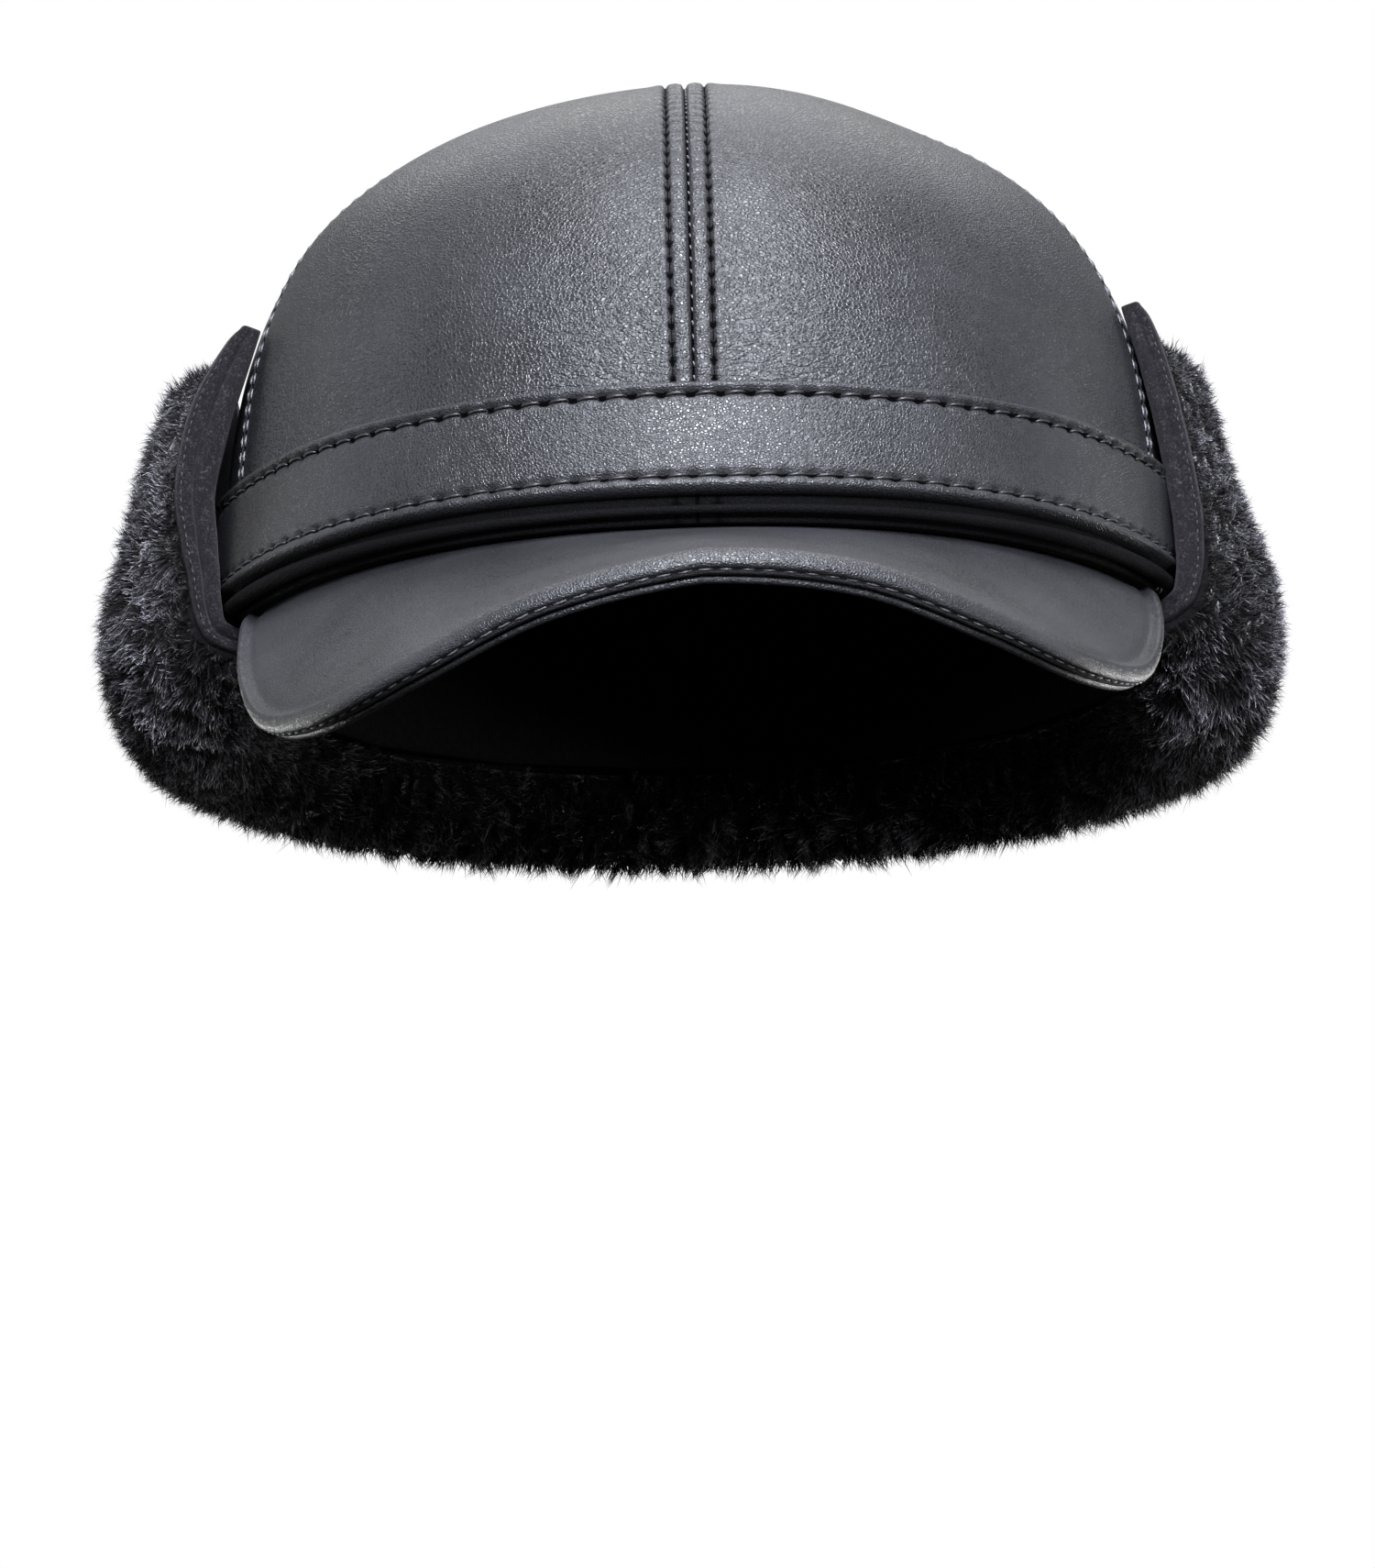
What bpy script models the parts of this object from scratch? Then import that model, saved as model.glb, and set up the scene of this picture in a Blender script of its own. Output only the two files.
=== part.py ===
"""Peaked winter cap of black leather, with a fur faced ear and neck flap turned up round its sides and back.

The cap faces -Y, +X is on the viewer's right and +Z is up. The origin is the centre of the head opening, in the
plane of the crown's rim. Azimuths are measured round the head from the front: 0 is the front, 90 is +X and 180
the back. Lengths are in metres.
"""

import math
from collections import namedtuple

import bmesh
import bpy
from mathutils import Vector

COLLECTION_NAME = "leather_hat"

# Crown: outer sizes of the leather dome, measured at the rim and from the rim to the top
CROWN_HALF_WIDTH = 0.0868
CROWN_FRONT_LENGTH = 0.1070
CROWN_BACK_LENGTH = 0.1060
CROWN_HEIGHT = 0.0940
CROWN_WALL = 0.0020
CROWN_PLAN_POWER = 2.12
CROWN_SIDE_POWER = 2.95
CROWN_FRONT_POWER = 2.80
SEAM_GAP = 0.0003

# Seams: the centre seam stands up as a low ridge, and the hoop seam crosses from ear to ear
RIDGE_LIFT = 0.0046
RIDGE_REACH = 0.036
HOOP_SEAM_SETBACK = 0.0440
HOOP_SEAM_TOP_SETBACK = 0.0320

# Front band: a flat padded strip of leather above the peak
BAND_HEIGHT = 0.0188
BAND_THICKNESS = 0.0026
BAND_LIFT = 0.0046
BAND_END_AZIMUTH = math.radians(72)
BAND_CLEARANCE = 0.0003

# Roll of leather in the recess between the band and the peak
ROLL_RADIUS = 0.0014
ROLL_LIFT = 0.0019
ROLL_END_AZIMUTH = math.radians(66)
ROLL_CLEARANCE = 0.0004
ROLL_BEVEL_RESOLUTION = 1

# Peak: stiffened top leather and the thinner cover under it
PEAK_DEPTH = 0.0590
PEAK_HALF_CHORD = 0.0800
PEAK_ROOT_AZIMUTH = math.radians(64)
PEAK_DROP = 0.0188
PEAK_TWIST = math.radians(3.5)
PEAK_TOP_THICKNESS = 0.0034
PEAK_UNDER_THICKNESS = 0.0014
PEAK_CLEARANCE = 0.0003
PEAK_LAYER_GAP = 0.0004
PEAK_UNDER_INSET = 0.0020
PEAK_CORNER_POWER = 2.3
PEAK_END_MARGIN = 0.012
PEAK_UNDER_END_MARGIN = 0.035
PEAK_EDGE_ROUNDING = 0.35
PEAK_EDGE_LEVEL = 0.28

# Ear and neck flap: woollen cloth turned up outside the crown, faced with fur
FLAP_FRONT_AZIMUTH = math.radians(68)
FLAP_STAND = 0.0116
FLAP_DROP = 0.0100
FLAP_HEIGHT = 0.0545
FLAP_TOP_STAND = 0.0032
FLAP_RIGHT_TUCK = 0.0036
FLAP_RIGHT_SINK = 0.0030
FLAP_TUCK_BLEND = 0.2
FLAP_TUCK_TOP_SHARE = 0.6
FLAP_WALL = 0.0016
FLAP_RIM_CLEARANCE = 0.0005
BINDING_WIDTH = 0.0074
BINDING_THICKNESS = 0.0022
BINDING_GAP = 0.0003
BINDING_END_SHARE = 0.35
BINDING_RIM_TAPER = 0.20
BINDING_TIP_TAPER = 0.14
FUR_DEPTH = 0.0105
FUR_FRONT_DEPTH = 0.0052
FUR_FRONT_BLEND = 0.14
FUR_RIM_SHARE = 0.22
FUR_RIM_TAPER = 0.22
FUR_TOP_SHARE = 0.45
FUR_TOP_TAPER = 0.10
FUR_TOP_INSET = 0.0030
FUR_LOCK_RELIEF = 0.0016
FUR_LOCK_SECTION_FADE = 0.25
FUR_LOCK_END_FADE = 0.08
FUR_CLEARANCE = 0.0003

# Faces along each direction
PANEL_STEPS = 11
PANEL_CLIMB_STEPS = 11
PANEL_CAP_STEPS = 3
BAND_STEPS = 34
PEAK_STEPS = 26
PEAK_RIBS = 5
ROLL_STEPS = 30
FLAP_STEPS = 52
KNOT_SAMPLES = 2
BINDING_CORNERS = 8

# Fineness of the searches and slopes that the shapes are worked out with
SEARCH_STEPS = 40
SLOPE_STEP = 0.01
MERGE_DISTANCE = 0.00001

# Shallow hollows (negative) and swells (positive) pressed into the front panels.
# azimuth and climb are in degrees, spread is their half width in degrees, depth in metres.
Dent = namedtuple("Dent", "azimuth climb azimuth_spread climb_spread depth")
DENTS = (
    Dent(azimuth=46, climb=54, azimuth_spread=20, climb_spread=10, depth=-0.0013),
    Dent(azimuth=34, climb=34, azimuth_spread=20, climb_spread=14, depth=0.0008),
    Dent(azimuth=-30, climb=36, azimuth_spread=22, climb_spread=16, depth=0.0006),
    Dent(azimuth=-58, climb=20, azimuth_spread=10, climb_spread=9, depth=-0.0007),
    Dent(azimuth=56, climb=21, azimuth_spread=10, climb_spread=9, depth=-0.0007),
)

# Section of the front band: a flat back on the crown, rolled edges and a soft face between them.
# up is a share of BAND_HEIGHT and out of BAND_THICKNESS.
BandCorner = namedtuple("BandCorner", "up out")
BAND_CORNERS = (
    BandCorner(up=0.00, out=0.10),
    BandCorner(up=0.03, out=0.72),
    BandCorner(up=0.10, out=1.00),
    BandCorner(up=0.30, out=0.92),
    BandCorner(up=0.50, out=0.90),
    BandCorner(up=0.70, out=0.92),
    BandCorner(up=0.90, out=1.00),
    BandCorner(up=0.97, out=0.72),
    BandCorner(up=1.00, out=0.10),
    BandCorner(up=0.50, out=0.00),
)

# Fall of the peak's edge below the rim, from the middle (turn 0) to the root at the temple (turn 1).
# drop is a share of PEAK_DROP.
PeakRow = namedtuple("PeakRow", "turn drop")
PEAK_ROWS = (
    PeakRow(turn=0.00, drop=1.00),
    PeakRow(turn=0.20, drop=1.18),
    PeakRow(turn=0.40, drop=1.57),
    PeakRow(turn=0.55, drop=1.72),
    PeakRow(turn=0.70, drop=1.50),
    PeakRow(turn=0.85, drop=0.82),
    PeakRow(turn=1.00, drop=0.02),
)

# Turned up flap, a row for each station from its front edge to the middle of the back.
# along is the share of the way round; stand, drop, height and top are shares of FLAP_STAND, which counts from
# the band's face, FLAP_DROP, FLAP_HEIGHT and FLAP_TOP_STAND.
FlapRow = namedtuple("FlapRow", "along stand drop height top")
FLAP_ROWS = (
    FlapRow(along=0.00, stand=0.48, drop=0.25, height=1.00, top=0.80),
    FlapRow(along=0.07, stand=0.64, drop=0.45, height=0.99, top=0.85),
    FlapRow(along=0.16, stand=0.85, drop=0.80, height=0.96, top=1.00),
    FlapRow(along=0.28, stand=1.00, drop=0.95, height=0.94, top=1.05),
    FlapRow(along=0.46, stand=0.90, drop=0.88, height=0.91, top=1.10),
    FlapRow(along=0.70, stand=0.75, drop=0.84, height=0.86, top=1.15),
    FlapRow(along=1.00, stand=0.70, drop=0.84, height=0.83, top=1.15),
)

# Line of the flap's cloth in section, from the crown's rim down, round the fold and up to the top edge.
# out is a share of the stand, down of the drop, up of the height, and back the share of the way from there
# to the place of the top edge beside the crown.
FlapKnot = namedtuple("FlapKnot", "out down up back")
FLAP_KNOTS = (
    FlapKnot(out=0.00, down=0.00, up=0.00, back=0.00),
    FlapKnot(out=0.16, down=0.66, up=0.00, back=0.00),
    FlapKnot(out=0.50, down=1.00, up=0.00, back=0.00),
    FlapKnot(out=0.86, down=0.62, up=0.00, back=0.00),
    FlapKnot(out=1.00, down=0.00, up=0.12, back=0.00),
    FlapKnot(out=1.00, down=0.00, up=0.42, back=0.28),
    FlapKnot(out=1.00, down=0.00, up=0.74, back=0.62),
    FlapKnot(out=1.00, down=0.00, up=1.00, back=1.00),
)

LEATHER = ("black_leather", (0.035, 0.036, 0.040), 0.38)
CLOTH = ("charcoal_cloth", (0.022, 0.020, 0.024), 0.95)
FUR = ("grey_tipped_fur", (0.060, 0.058, 0.062), 0.90)


def clear_scene():
    for item in list(bpy.data.objects):
        bpy.data.objects.remove(item, do_unlink=True)


def make_collection():
    collection = bpy.data.collections.new(COLLECTION_NAME)
    bpy.context.scene.collection.children.link(collection)
    return collection


def make_material(node_name, finish):
    finish_name, colour, roughness = finish
    material = bpy.data.materials.new(f"{node_name}_{finish_name}")
    material.use_nodes = True
    shader = material.node_tree.nodes["Principled BSDF"]
    shader.inputs["Base Color"].default_value = (*colour, 1.0)
    shader.inputs["Roughness"].default_value = roughness
    shader.inputs["Metallic"].default_value = 0.0
    return material


def plan_outline(azimuth, offset=0.0):
    """Point of the crown's rim line in plan, moved outward by offset along its normal."""
    length = CROWN_FRONT_LENGTH if math.cos(azimuth) > 0 else CROWN_BACK_LENGTH
    across = math.sin(azimuth)
    ahead = -math.cos(azimuth)
    power = CROWN_PLAN_POWER
    reach = (abs(across) ** power + abs(ahead) ** power) ** (-1 / power)
    x = CROWN_HALF_WIDTH * across * reach
    y = length * ahead * reach
    slope = Vector((
        math.copysign(abs(x / CROWN_HALF_WIDTH) ** (power - 1), x) / CROWN_HALF_WIDTH,
        math.copysign(abs(y / length) ** (power - 1), y) / length,
        0.0,
    ))
    return Vector((x, y, 0.0)) + slope.normalized() * offset


def plan_normal(azimuth):
    return (plan_outline(azimuth, 1.0) - plan_outline(azimuth)).normalized()


def relief(azimuth, climb):
    """Height of the ridge, the hollows and the swells over the plain dome."""
    across = CROWN_HALF_WIDTH * math.sin(azimuth) * math.cos(climb)
    lift = RIDGE_LIFT * math.exp(-((across / RIDGE_REACH) ** 2)) * math.sin(climb) ** 2
    for dent in DENTS:
        sideways = (math.degrees(azimuth) - dent.azimuth) / dent.azimuth_spread
        upward = (math.degrees(climb) - dent.climb) / dent.climb_spread
        lift += dent.depth * math.exp(-(sideways ** 2) - upward ** 2)
    return lift


def crown_point(azimuth, climb, offset=0.0):
    """Point of the crown's outer face; climb runs from 0 at the rim to a right angle at the top."""
    rim = plan_outline(azimuth)
    power = CROWN_FRONT_POWER + (CROWN_SIDE_POWER - CROWN_FRONT_POWER) * math.sin(azimuth) ** 2
    level = math.cos(climb)
    rise = math.sin(climb)
    reach = (level ** power + rise ** power) ** (-1 / power)
    point = Vector((rim.x * level * reach, rim.y * level * reach, CROWN_HEIGHT * rise * reach))
    outward = Vector((point.x / CROWN_HALF_WIDTH ** 2, point.y / CROWN_FRONT_LENGTH ** 2,
                      point.z / CROWN_HEIGHT ** 2)).normalized()
    return point + outward * (relief(azimuth, climb) + offset)


def last_before(is_before, high):
    """Largest value under high for which is_before still holds, found by halving."""
    low = 0.0
    for _ in range(SEARCH_STEPS):
        middle = (low + high) / 2
        if is_before(middle):
            low = middle
        else:
            high = middle
    return low


def climb_at_height(azimuth, height):
    """Climb at which the crown's face reaches a height."""
    return last_before(lambda climb: crown_point(azimuth, climb).z < height, math.pi / 2)


def crown_out(azimuth, height):
    """How far the crown's face stands out from the rim line at a height; it leans in, so this is negative."""
    face = crown_point(azimuth, climb_at_height(azimuth, height))
    return (face - plan_outline(azimuth)).dot(plan_normal(azimuth))


def hoop_azimuth(climb, setback_shift=0.0):
    """Azimuth at which the hoop seam crosses a climb, or 0 above the place where it meets the centre seam."""

    def is_in_front(azimuth):
        point = crown_point(azimuth, climb)
        rise = point.z / CROWN_HEIGHT
        seam_y = -(HOOP_SEAM_SETBACK + (HOOP_SEAM_TOP_SETBACK - HOOP_SEAM_SETBACK) * rise)
        return point.y < seam_y + setback_shift

    return last_before(is_in_front, math.pi)


def centre_seam_azimuth(climb, half_gap):
    """Azimuth that keeps a panel's edge half a gap away from the middle plane."""
    width = max(plan_outline(math.pi / 2).x * math.cos(climb), half_gap)
    return math.asin(min(1.0, half_gap / width))


def add_object(name, bm, finish, collection, smooth=True):
    bmesh.ops.recalc_face_normals(bm, faces=bm.faces)
    mesh = bpy.data.meshes.new(name)
    bm.to_mesh(mesh)
    bm.free()
    if smooth:
        mesh.shade_smooth()
    item = bpy.data.objects.new(name, mesh)
    item.data.materials.append(make_material(name, finish))
    collection.objects.link(item)
    return item


def grid_surface(rows):
    """Open surface through rows of points."""
    bm = bmesh.new()
    grid = [[bm.verts.new(point) for point in row] for row in rows]
    for lower, upper in zip(grid, grid[1:]):
        for index in range(len(lower) - 1):
            bm.faces.new((lower[index], lower[index + 1], upper[index + 1], upper[index]))
    return bm


def loft_rings(rings):
    """Closed solid through rings of points, with a flat cap at each end."""
    bm = bmesh.new()
    loops = [[bm.verts.new(point) for point in ring] for ring in rings]
    count = len(rings[0])
    for lower, upper in zip(loops, loops[1:]):
        for index in range(count):
            after = (index + 1) % count
            bm.faces.new((lower[index], lower[after], upper[after], upper[index]))
    bm.faces.new(loops[0])
    bm.faces.new(loops[-1])
    return bm


def walled_grid(outer_rows, inner_rows):
    """Closed wall between an outer and an inner grid of points, joined round their border."""
    bm = bmesh.new()
    outer = [[bm.verts.new(point) for point in row] for row in outer_rows]
    inner = [[bm.verts.new(point) for point in row] for row in inner_rows]
    last_row = len(outer) - 1
    last_column = len(outer[0]) - 1
    for row in range(last_row):
        for column in range(last_column):
            for grid in (outer, inner):
                bm.faces.new((grid[row][column], grid[row][column + 1],
                              grid[row + 1][column + 1], grid[row + 1][column]))
    border = [(0, column) for column in range(last_column)]
    border += [(row, last_column) for row in range(last_row)]
    border += [(last_row, column) for column in range(last_column, 0, -1)]
    border += [(row, 0) for row in range(last_row, 0, -1)]
    for (row, column), (next_row, next_column) in zip(border, border[1:] + border[:1]):
        bm.faces.new((outer[row][column], outer[next_row][next_column],
                      inner[next_row][next_column], inner[row][column]))
    bmesh.ops.remove_doubles(bm, verts=bm.verts, dist=MERGE_DISTANCE)
    return bm


def solidify(item, thickness, offset):
    modifier = item.modifiers.new("wall", "SOLIDIFY")
    modifier.thickness = thickness
    modifier.offset = offset
    modifier.use_even_offset = True
    modifier.use_rim = True


def spread(count):
    """Shares from 0 to 1 in even steps."""
    return [index / count for index in range(count + 1)]


def smooth_between(values, position):
    """Value at a position along a list of values, on a smooth curve through them."""
    last = len(values) - 1
    index = min(int(position), last - 1)
    share = position - index
    before = values[max(index - 1, 0)]
    start = values[index]
    end = values[index + 1]
    after = values[min(index + 2, last)]
    return 0.5 * (
        2 * start
        + (end - before) * share
        + (2 * before - 5 * start + 4 * end - after) * share ** 2
        + (3 * start - before - 3 * end + after) * share ** 3
    )


def seams_meet(setback_shift):
    """Climb at which the hoop seam, moved by a shift, meets the centre seam."""
    return last_before(
        lambda climb: hoop_azimuth(climb, setback_shift) > centre_seam_azimuth(climb, SEAM_GAP / 2),
        math.pi / 2,
    )


def make_panel(side, name, climbs, edges, collection):
    """Leather panel between two seams; edges gives its first and last azimuth at a climb."""
    skins = []
    for depth in (0.0, -CROWN_WALL):
        rows = []
        for climb in climbs:
            start, end = edges(climb)
            if climb == climbs[-1]:
                start = end = (start + end) / 2
            rows.append([
                crown_point(side * (start + (end - start) * share), climb, depth)
                for share in spread(PANEL_STEPS)
            ])
        skins.append(rows)
    return add_object(name, walled_grid(*skins), LEATHER, collection)


def front_panel_edges(climb):
    start = centre_seam_azimuth(climb, SEAM_GAP / 2)
    return start, max(start, hoop_azimuth(climb, -SEAM_GAP / 2))


def rear_panel_edges(climb):
    edge = centre_seam_azimuth(climb, SEAM_GAP / 2)
    return max(edge, hoop_azimuth(climb, SEAM_GAP / 2)), math.pi - edge


def make_crown(collection):
    """Four panels; the rear ones have the front ones' rows, so that their edges match, and then close the top."""
    front_top = seams_meet(-SEAM_GAP / 2)
    rear_corner = seams_meet(SEAM_GAP / 2)
    front_climbs = [front_top * share for share in spread(PANEL_CLIMB_STEPS)]
    cap_climbs = [rear_corner + (math.pi / 2 - rear_corner) * share for share in spread(PANEL_CAP_STEPS)]
    for side, hand in ((-1, "left"), (1, "right")):
        make_panel(side, f"crown_front_{hand}", front_climbs, front_panel_edges, collection)
        make_panel(side, f"crown_rear_{hand}", front_climbs + cap_climbs, rear_panel_edges, collection)


def band_ring(azimuth):
    """Section of the front band where it crosses an azimuth."""
    ring = []
    for corner in BAND_CORNERS:
        climb = climb_at_height(azimuth, BAND_LIFT + BAND_HEIGHT * corner.up)
        ring.append(crown_point(azimuth, climb, BAND_CLEARANCE + BAND_THICKNESS * corner.out))
    return ring


def make_front_band(collection):
    rings = [
        band_ring(-BAND_END_AZIMUTH + 2 * BAND_END_AZIMUTH * share)
        for share in spread(BAND_STEPS)
    ]
    return add_object("front_band", loft_rings(rings), LEATHER, collection)


def make_visor_seam_roll(collection):
    """Thin roll of leather along the crown's rim, in the recess above the peak."""
    curve = bpy.data.curves.new("visor_seam_roll", "CURVE")
    curve.dimensions = "3D"
    curve.bevel_depth = ROLL_RADIUS
    curve.bevel_resolution = ROLL_BEVEL_RESOLUTION
    curve.use_fill_caps = True
    spline = curve.splines.new("POLY")
    spline.points.add(ROLL_STEPS)
    for index, share in enumerate(spread(ROLL_STEPS)):
        azimuth = -ROLL_END_AZIMUTH + 2 * ROLL_END_AZIMUTH * share
        climb = climb_at_height(azimuth, ROLL_LIFT)
        point = crown_point(azimuth, climb, ROLL_RADIUS + ROLL_CLEARANCE)
        spline.points[index].co = (*point, 1.0)
    item = bpy.data.objects.new("visor_seam_roll", curve)
    item.data.materials.append(make_material("visor_seam_roll", LEATHER))
    collection.objects.link(item)
    return item


def table_value(rows, key, column, position):
    """Value of a column on a smooth curve through the rows of a table."""
    for index in range(len(rows) - 1):
        if position <= getattr(rows[index + 1], key):
            break
    start = getattr(rows[index], key)
    end = getattr(rows[index + 1], key)
    share = index + (position - start) / (end - start)
    return smooth_between([getattr(row, column) for row in rows], share)


def peak_face(side, reach):
    """Point of the peak's top face; side runs from -1 to 1 along it and reach from its root to its edge."""
    inner = plan_outline(PEAK_ROOT_AZIMUTH * side, -CROWN_WALL)
    root = plan_outline(PEAK_ROOT_AZIMUTH)
    across = math.sin(math.pi / 2 * side)
    ahead = math.cos(math.pi / 2 * side)
    power = PEAK_CORNER_POWER
    stretch = (abs(across) ** power + ahead ** power) ** (-1 / power)
    front = CROWN_FRONT_LENGTH + PEAK_DEPTH
    outer = Vector((
        PEAK_HALF_CHORD * across * stretch,
        root.y - (front + root.y) * ahead * stretch,
        0.0,
    ))
    drop = PEAK_DROP * table_value(PEAK_ROWS, "turn", "drop", abs(side))
    drop -= math.tan(PEAK_TWIST) * outer.x * ahead
    point = inner.lerp(outer, reach)
    point.z = -PEAK_CLEARANCE - drop * reach
    return point


def peak_point(side, distance, depth, edge_inset):
    """Point of a peak layer at a distance from its root and a depth under the top face."""
    length = (peak_face(side, 1.0) - peak_face(side, 0.0)).length
    reach = distance * max(0.0, 1 - edge_inset / length)
    point = peak_face(side, reach)
    along = peak_face(side + SLOPE_STEP, reach) - peak_face(side - SLOPE_STEP, reach)
    forward = peak_face(side, reach + SLOPE_STEP) - peak_face(side, reach - SLOPE_STEP)
    normal = along.cross(forward).normalized()
    if normal.z < 0:
        normal = -normal
    return point - normal * depth


def peak_ring(side, top_depth, thickness, edge_inset):
    """Section of a peak layer from its root to its edge and back, with a rounded edge."""
    length = (peak_face(side, 1.0) - peak_face(side, 0.0)).length
    turn = PEAK_EDGE_ROUNDING * thickness / length
    flat = [(1 - turn) * share for share in spread(PEAK_RIBS)]
    profile = [(distance, 0.0) for distance in flat]
    profile += [(1.0, PEAK_EDGE_LEVEL), (1.0, 1 - PEAK_EDGE_LEVEL)]
    profile += [(distance, 1.0) for distance in reversed(flat)]
    return [
        peak_point(side, distance, top_depth + thickness * depth, edge_inset)
        for distance, depth in profile
    ]


def make_peak_layer(name, top_depth, thickness, edge_inset, end_margin, collection):
    rings = [
        peak_ring((1 - end_margin) * (2 * share - 1), top_depth, thickness, edge_inset)
        for share in spread(PEAK_STEPS)
    ]
    return add_object(name, loft_rings(rings), LEATHER, collection)


def flap_line(around):
    """Cloth line of the flap in section, as pairs of distance out from the rim and height."""
    along = 1.0 - abs(2 * around - 1)
    right_share = smooth_step(along / FLAP_TUCK_BLEND) * smooth_step(2 * around - 1)
    tuck = FLAP_RIGHT_TUCK * right_share
    stand, drop, height_share, top = (
        table_value(FLAP_ROWS, "along", column, along)
        for column in ("stand", "drop", "height", "top")
    )
    stand = BAND_CLEARANCE + BAND_THICKNESS + FLAP_STAND * stand - tuck
    rise = FLAP_HEIGHT * height_share - FLAP_RIGHT_SINK * right_share
    top_out = crown_out(flap_azimuth(around), rise) + FLAP_TOP_STAND * top - tuck * FLAP_TUCK_TOP_SHARE
    start_z = -FLAP_RIM_CLEARANCE - FLAP_WALL / 2
    points = []
    last = len(FLAP_KNOTS) - 1
    for index in range(last * KNOT_SAMPLES + 1):
        position = index / KNOT_SAMPLES
        knot = FlapKnot(*(
            smooth_between([getattr(row_knot, column) for row_knot in FLAP_KNOTS], position)
            for column in FlapKnot._fields
        ))
        out = -CROWN_WALL / 2 + stand * knot.out
        out += (top_out - out) * knot.back
        height = start_z - FLAP_DROP * drop * knot.down + rise * knot.up
        points.append((out, height))
    return points


def smooth_step(share):
    """Smooth rise from 0 to 1, held at both ends."""
    share = min(1.0, max(0.0, share))
    return share * share * (3 - 2 * share)


def line_normals(points):
    """Unit normals of a line in section that point to the fur's side."""
    normals = []
    for index in range(len(points)):
        before = points[max(index - 1, 0)]
        after = points[min(index + 1, len(points) - 1)]
        run_out = after[0] - before[0]
        run_up = after[1] - before[1]
        length = math.hypot(run_out, run_up)
        normals.append((run_up / length, -run_out / length))
    return normals


def shortened(start, end, cut):
    """End of a stretch between two points after a length is cut from it."""
    share = 1 - cut / math.dist(start, end)
    return tuple(first + (second - first) * share for first, second in zip(start, end))


def flap_azimuth(around):
    """Azimuth at a share of the way round, from the left front edge by the back to the right one."""
    return -FLAP_FRONT_AZIMUTH - (2 * math.pi - 2 * FLAP_FRONT_AZIMUTH) * around


def flap_place(azimuth, out, height):
    rim = plan_outline(azimuth)
    return rim + plan_normal(azimuth) * out + Vector((0.0, 0.0, height))


def make_flap_cloth(collection):
    rows = []
    for around in spread(FLAP_STEPS):
        azimuth = flap_azimuth(around)
        rows.append([
            flap_place(azimuth, out, height)
            for out, height in flap_line(around)
        ])
    bm = grid_surface(rows)
    cloth = add_object("ear_flap_cloth", bm, CLOTH, collection)
    solidify(cloth, FLAP_WALL, 0.0)
    return cloth


def fur_depth(along, rank):
    """Pile depth, thin at the rim and the front edge and full over the fold and the outer face."""
    full = FUR_FRONT_DEPTH + (FUR_DEPTH - FUR_FRONT_DEPTH) * smooth_step(along / FUR_FRONT_BLEND)
    rim_share = rounded_rise(rank / FUR_RIM_TAPER, FUR_RIM_SHARE)
    top_share = rounded_rise((1 - rank) / FUR_TOP_TAPER, FUR_TOP_SHARE)
    return full * rim_share * top_share


def rounded_rise(share, start):
    """Rise from a start value to 1 that bends over like a quarter circle, then holds."""
    return start + (1 - start) * math.sin(math.pi / 2 * min(1.0, share))


def fur_ring(step, around):
    """Section of the fur: its backing follows the cloth, and its face is broken into staggered locks."""
    along = 1.0 - abs(2 * around - 1)
    azimuth = flap_azimuth(around)
    line = flap_line(around)
    normals = line_normals(line)
    line[-1] = shortened(line[-2], line[-1], FUR_TOP_INSET)
    last = len(line) - 1
    backing_gap = FLAP_WALL / 2 + FUR_CLEARANCE
    face = []
    backing = []
    for index, ((out, height), (normal_out, normal_up)) in enumerate(zip(line, normals)):
        rank = index / last
        lock = FUR_LOCK_RELIEF * (1.0 if (index + step) % 2 else -1.0)
        lock *= min(1.0, rank / FUR_LOCK_SECTION_FADE, (1 - rank) / FUR_LOCK_SECTION_FADE)
        lock *= min(1.0, along / FUR_LOCK_END_FADE)
        depth = fur_depth(along, rank) + lock
        face.append((out + normal_out * (backing_gap + depth), height + normal_up * (backing_gap + depth)))
        backing.append((out + normal_out * backing_gap, height + normal_up * backing_gap))
    profile = face + backing[::-1]
    return [flap_place(azimuth, out, height) for out, height in profile]


def make_flap_fur(collection):
    rings = [fur_ring(step, around) for step, around in enumerate(spread(FLAP_STEPS))]
    return add_object("ear_flap_fur", loft_rings(rings), FUR, collection, smooth=False)


def make_flap_binding(side, name, collection):
    """Cloth strip that closes the flap's front edge from the rim to the tip."""
    azimuth = side * FLAP_FRONT_AZIMUTH
    normal = plan_normal(azimuth)
    forward = Vector((0.0, 0.0, 1.0)).cross(normal) * -side
    line = flap_line(0.0 if side < 0 else 1.0)
    normals = line_normals(line)
    last = len(line) - 1
    facet = math.pi / BINDING_CORNERS
    rings = []
    for index, ((out, height), (normal_out, normal_up)) in enumerate(zip(line, normals)):
        rank = index / last
        from_end = min(rank / BINDING_RIM_TAPER, (1 - rank) / BINDING_TIP_TAPER)
        half_width = BINDING_WIDTH / 2 * rounded_rise(from_end, BINDING_END_SHARE)
        middle = -FLAP_WALL / 2 + half_width
        ring = []
        for corner in range(BINDING_CORNERS):
            angle = (2 * corner + 1) * facet
            across = middle + half_width * math.cos(angle) / math.cos(facet)
            ahead = BINDING_GAP + BINDING_THICKNESS / 2 * (1 + math.sin(angle) / math.cos(facet))
            place = flap_place(azimuth, out + normal_out * across, height + normal_up * across)
            ring.append(place + forward * ahead)
        rings.append(ring)
    return add_object(name, loft_rings(rings), CLOTH, collection)


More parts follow.
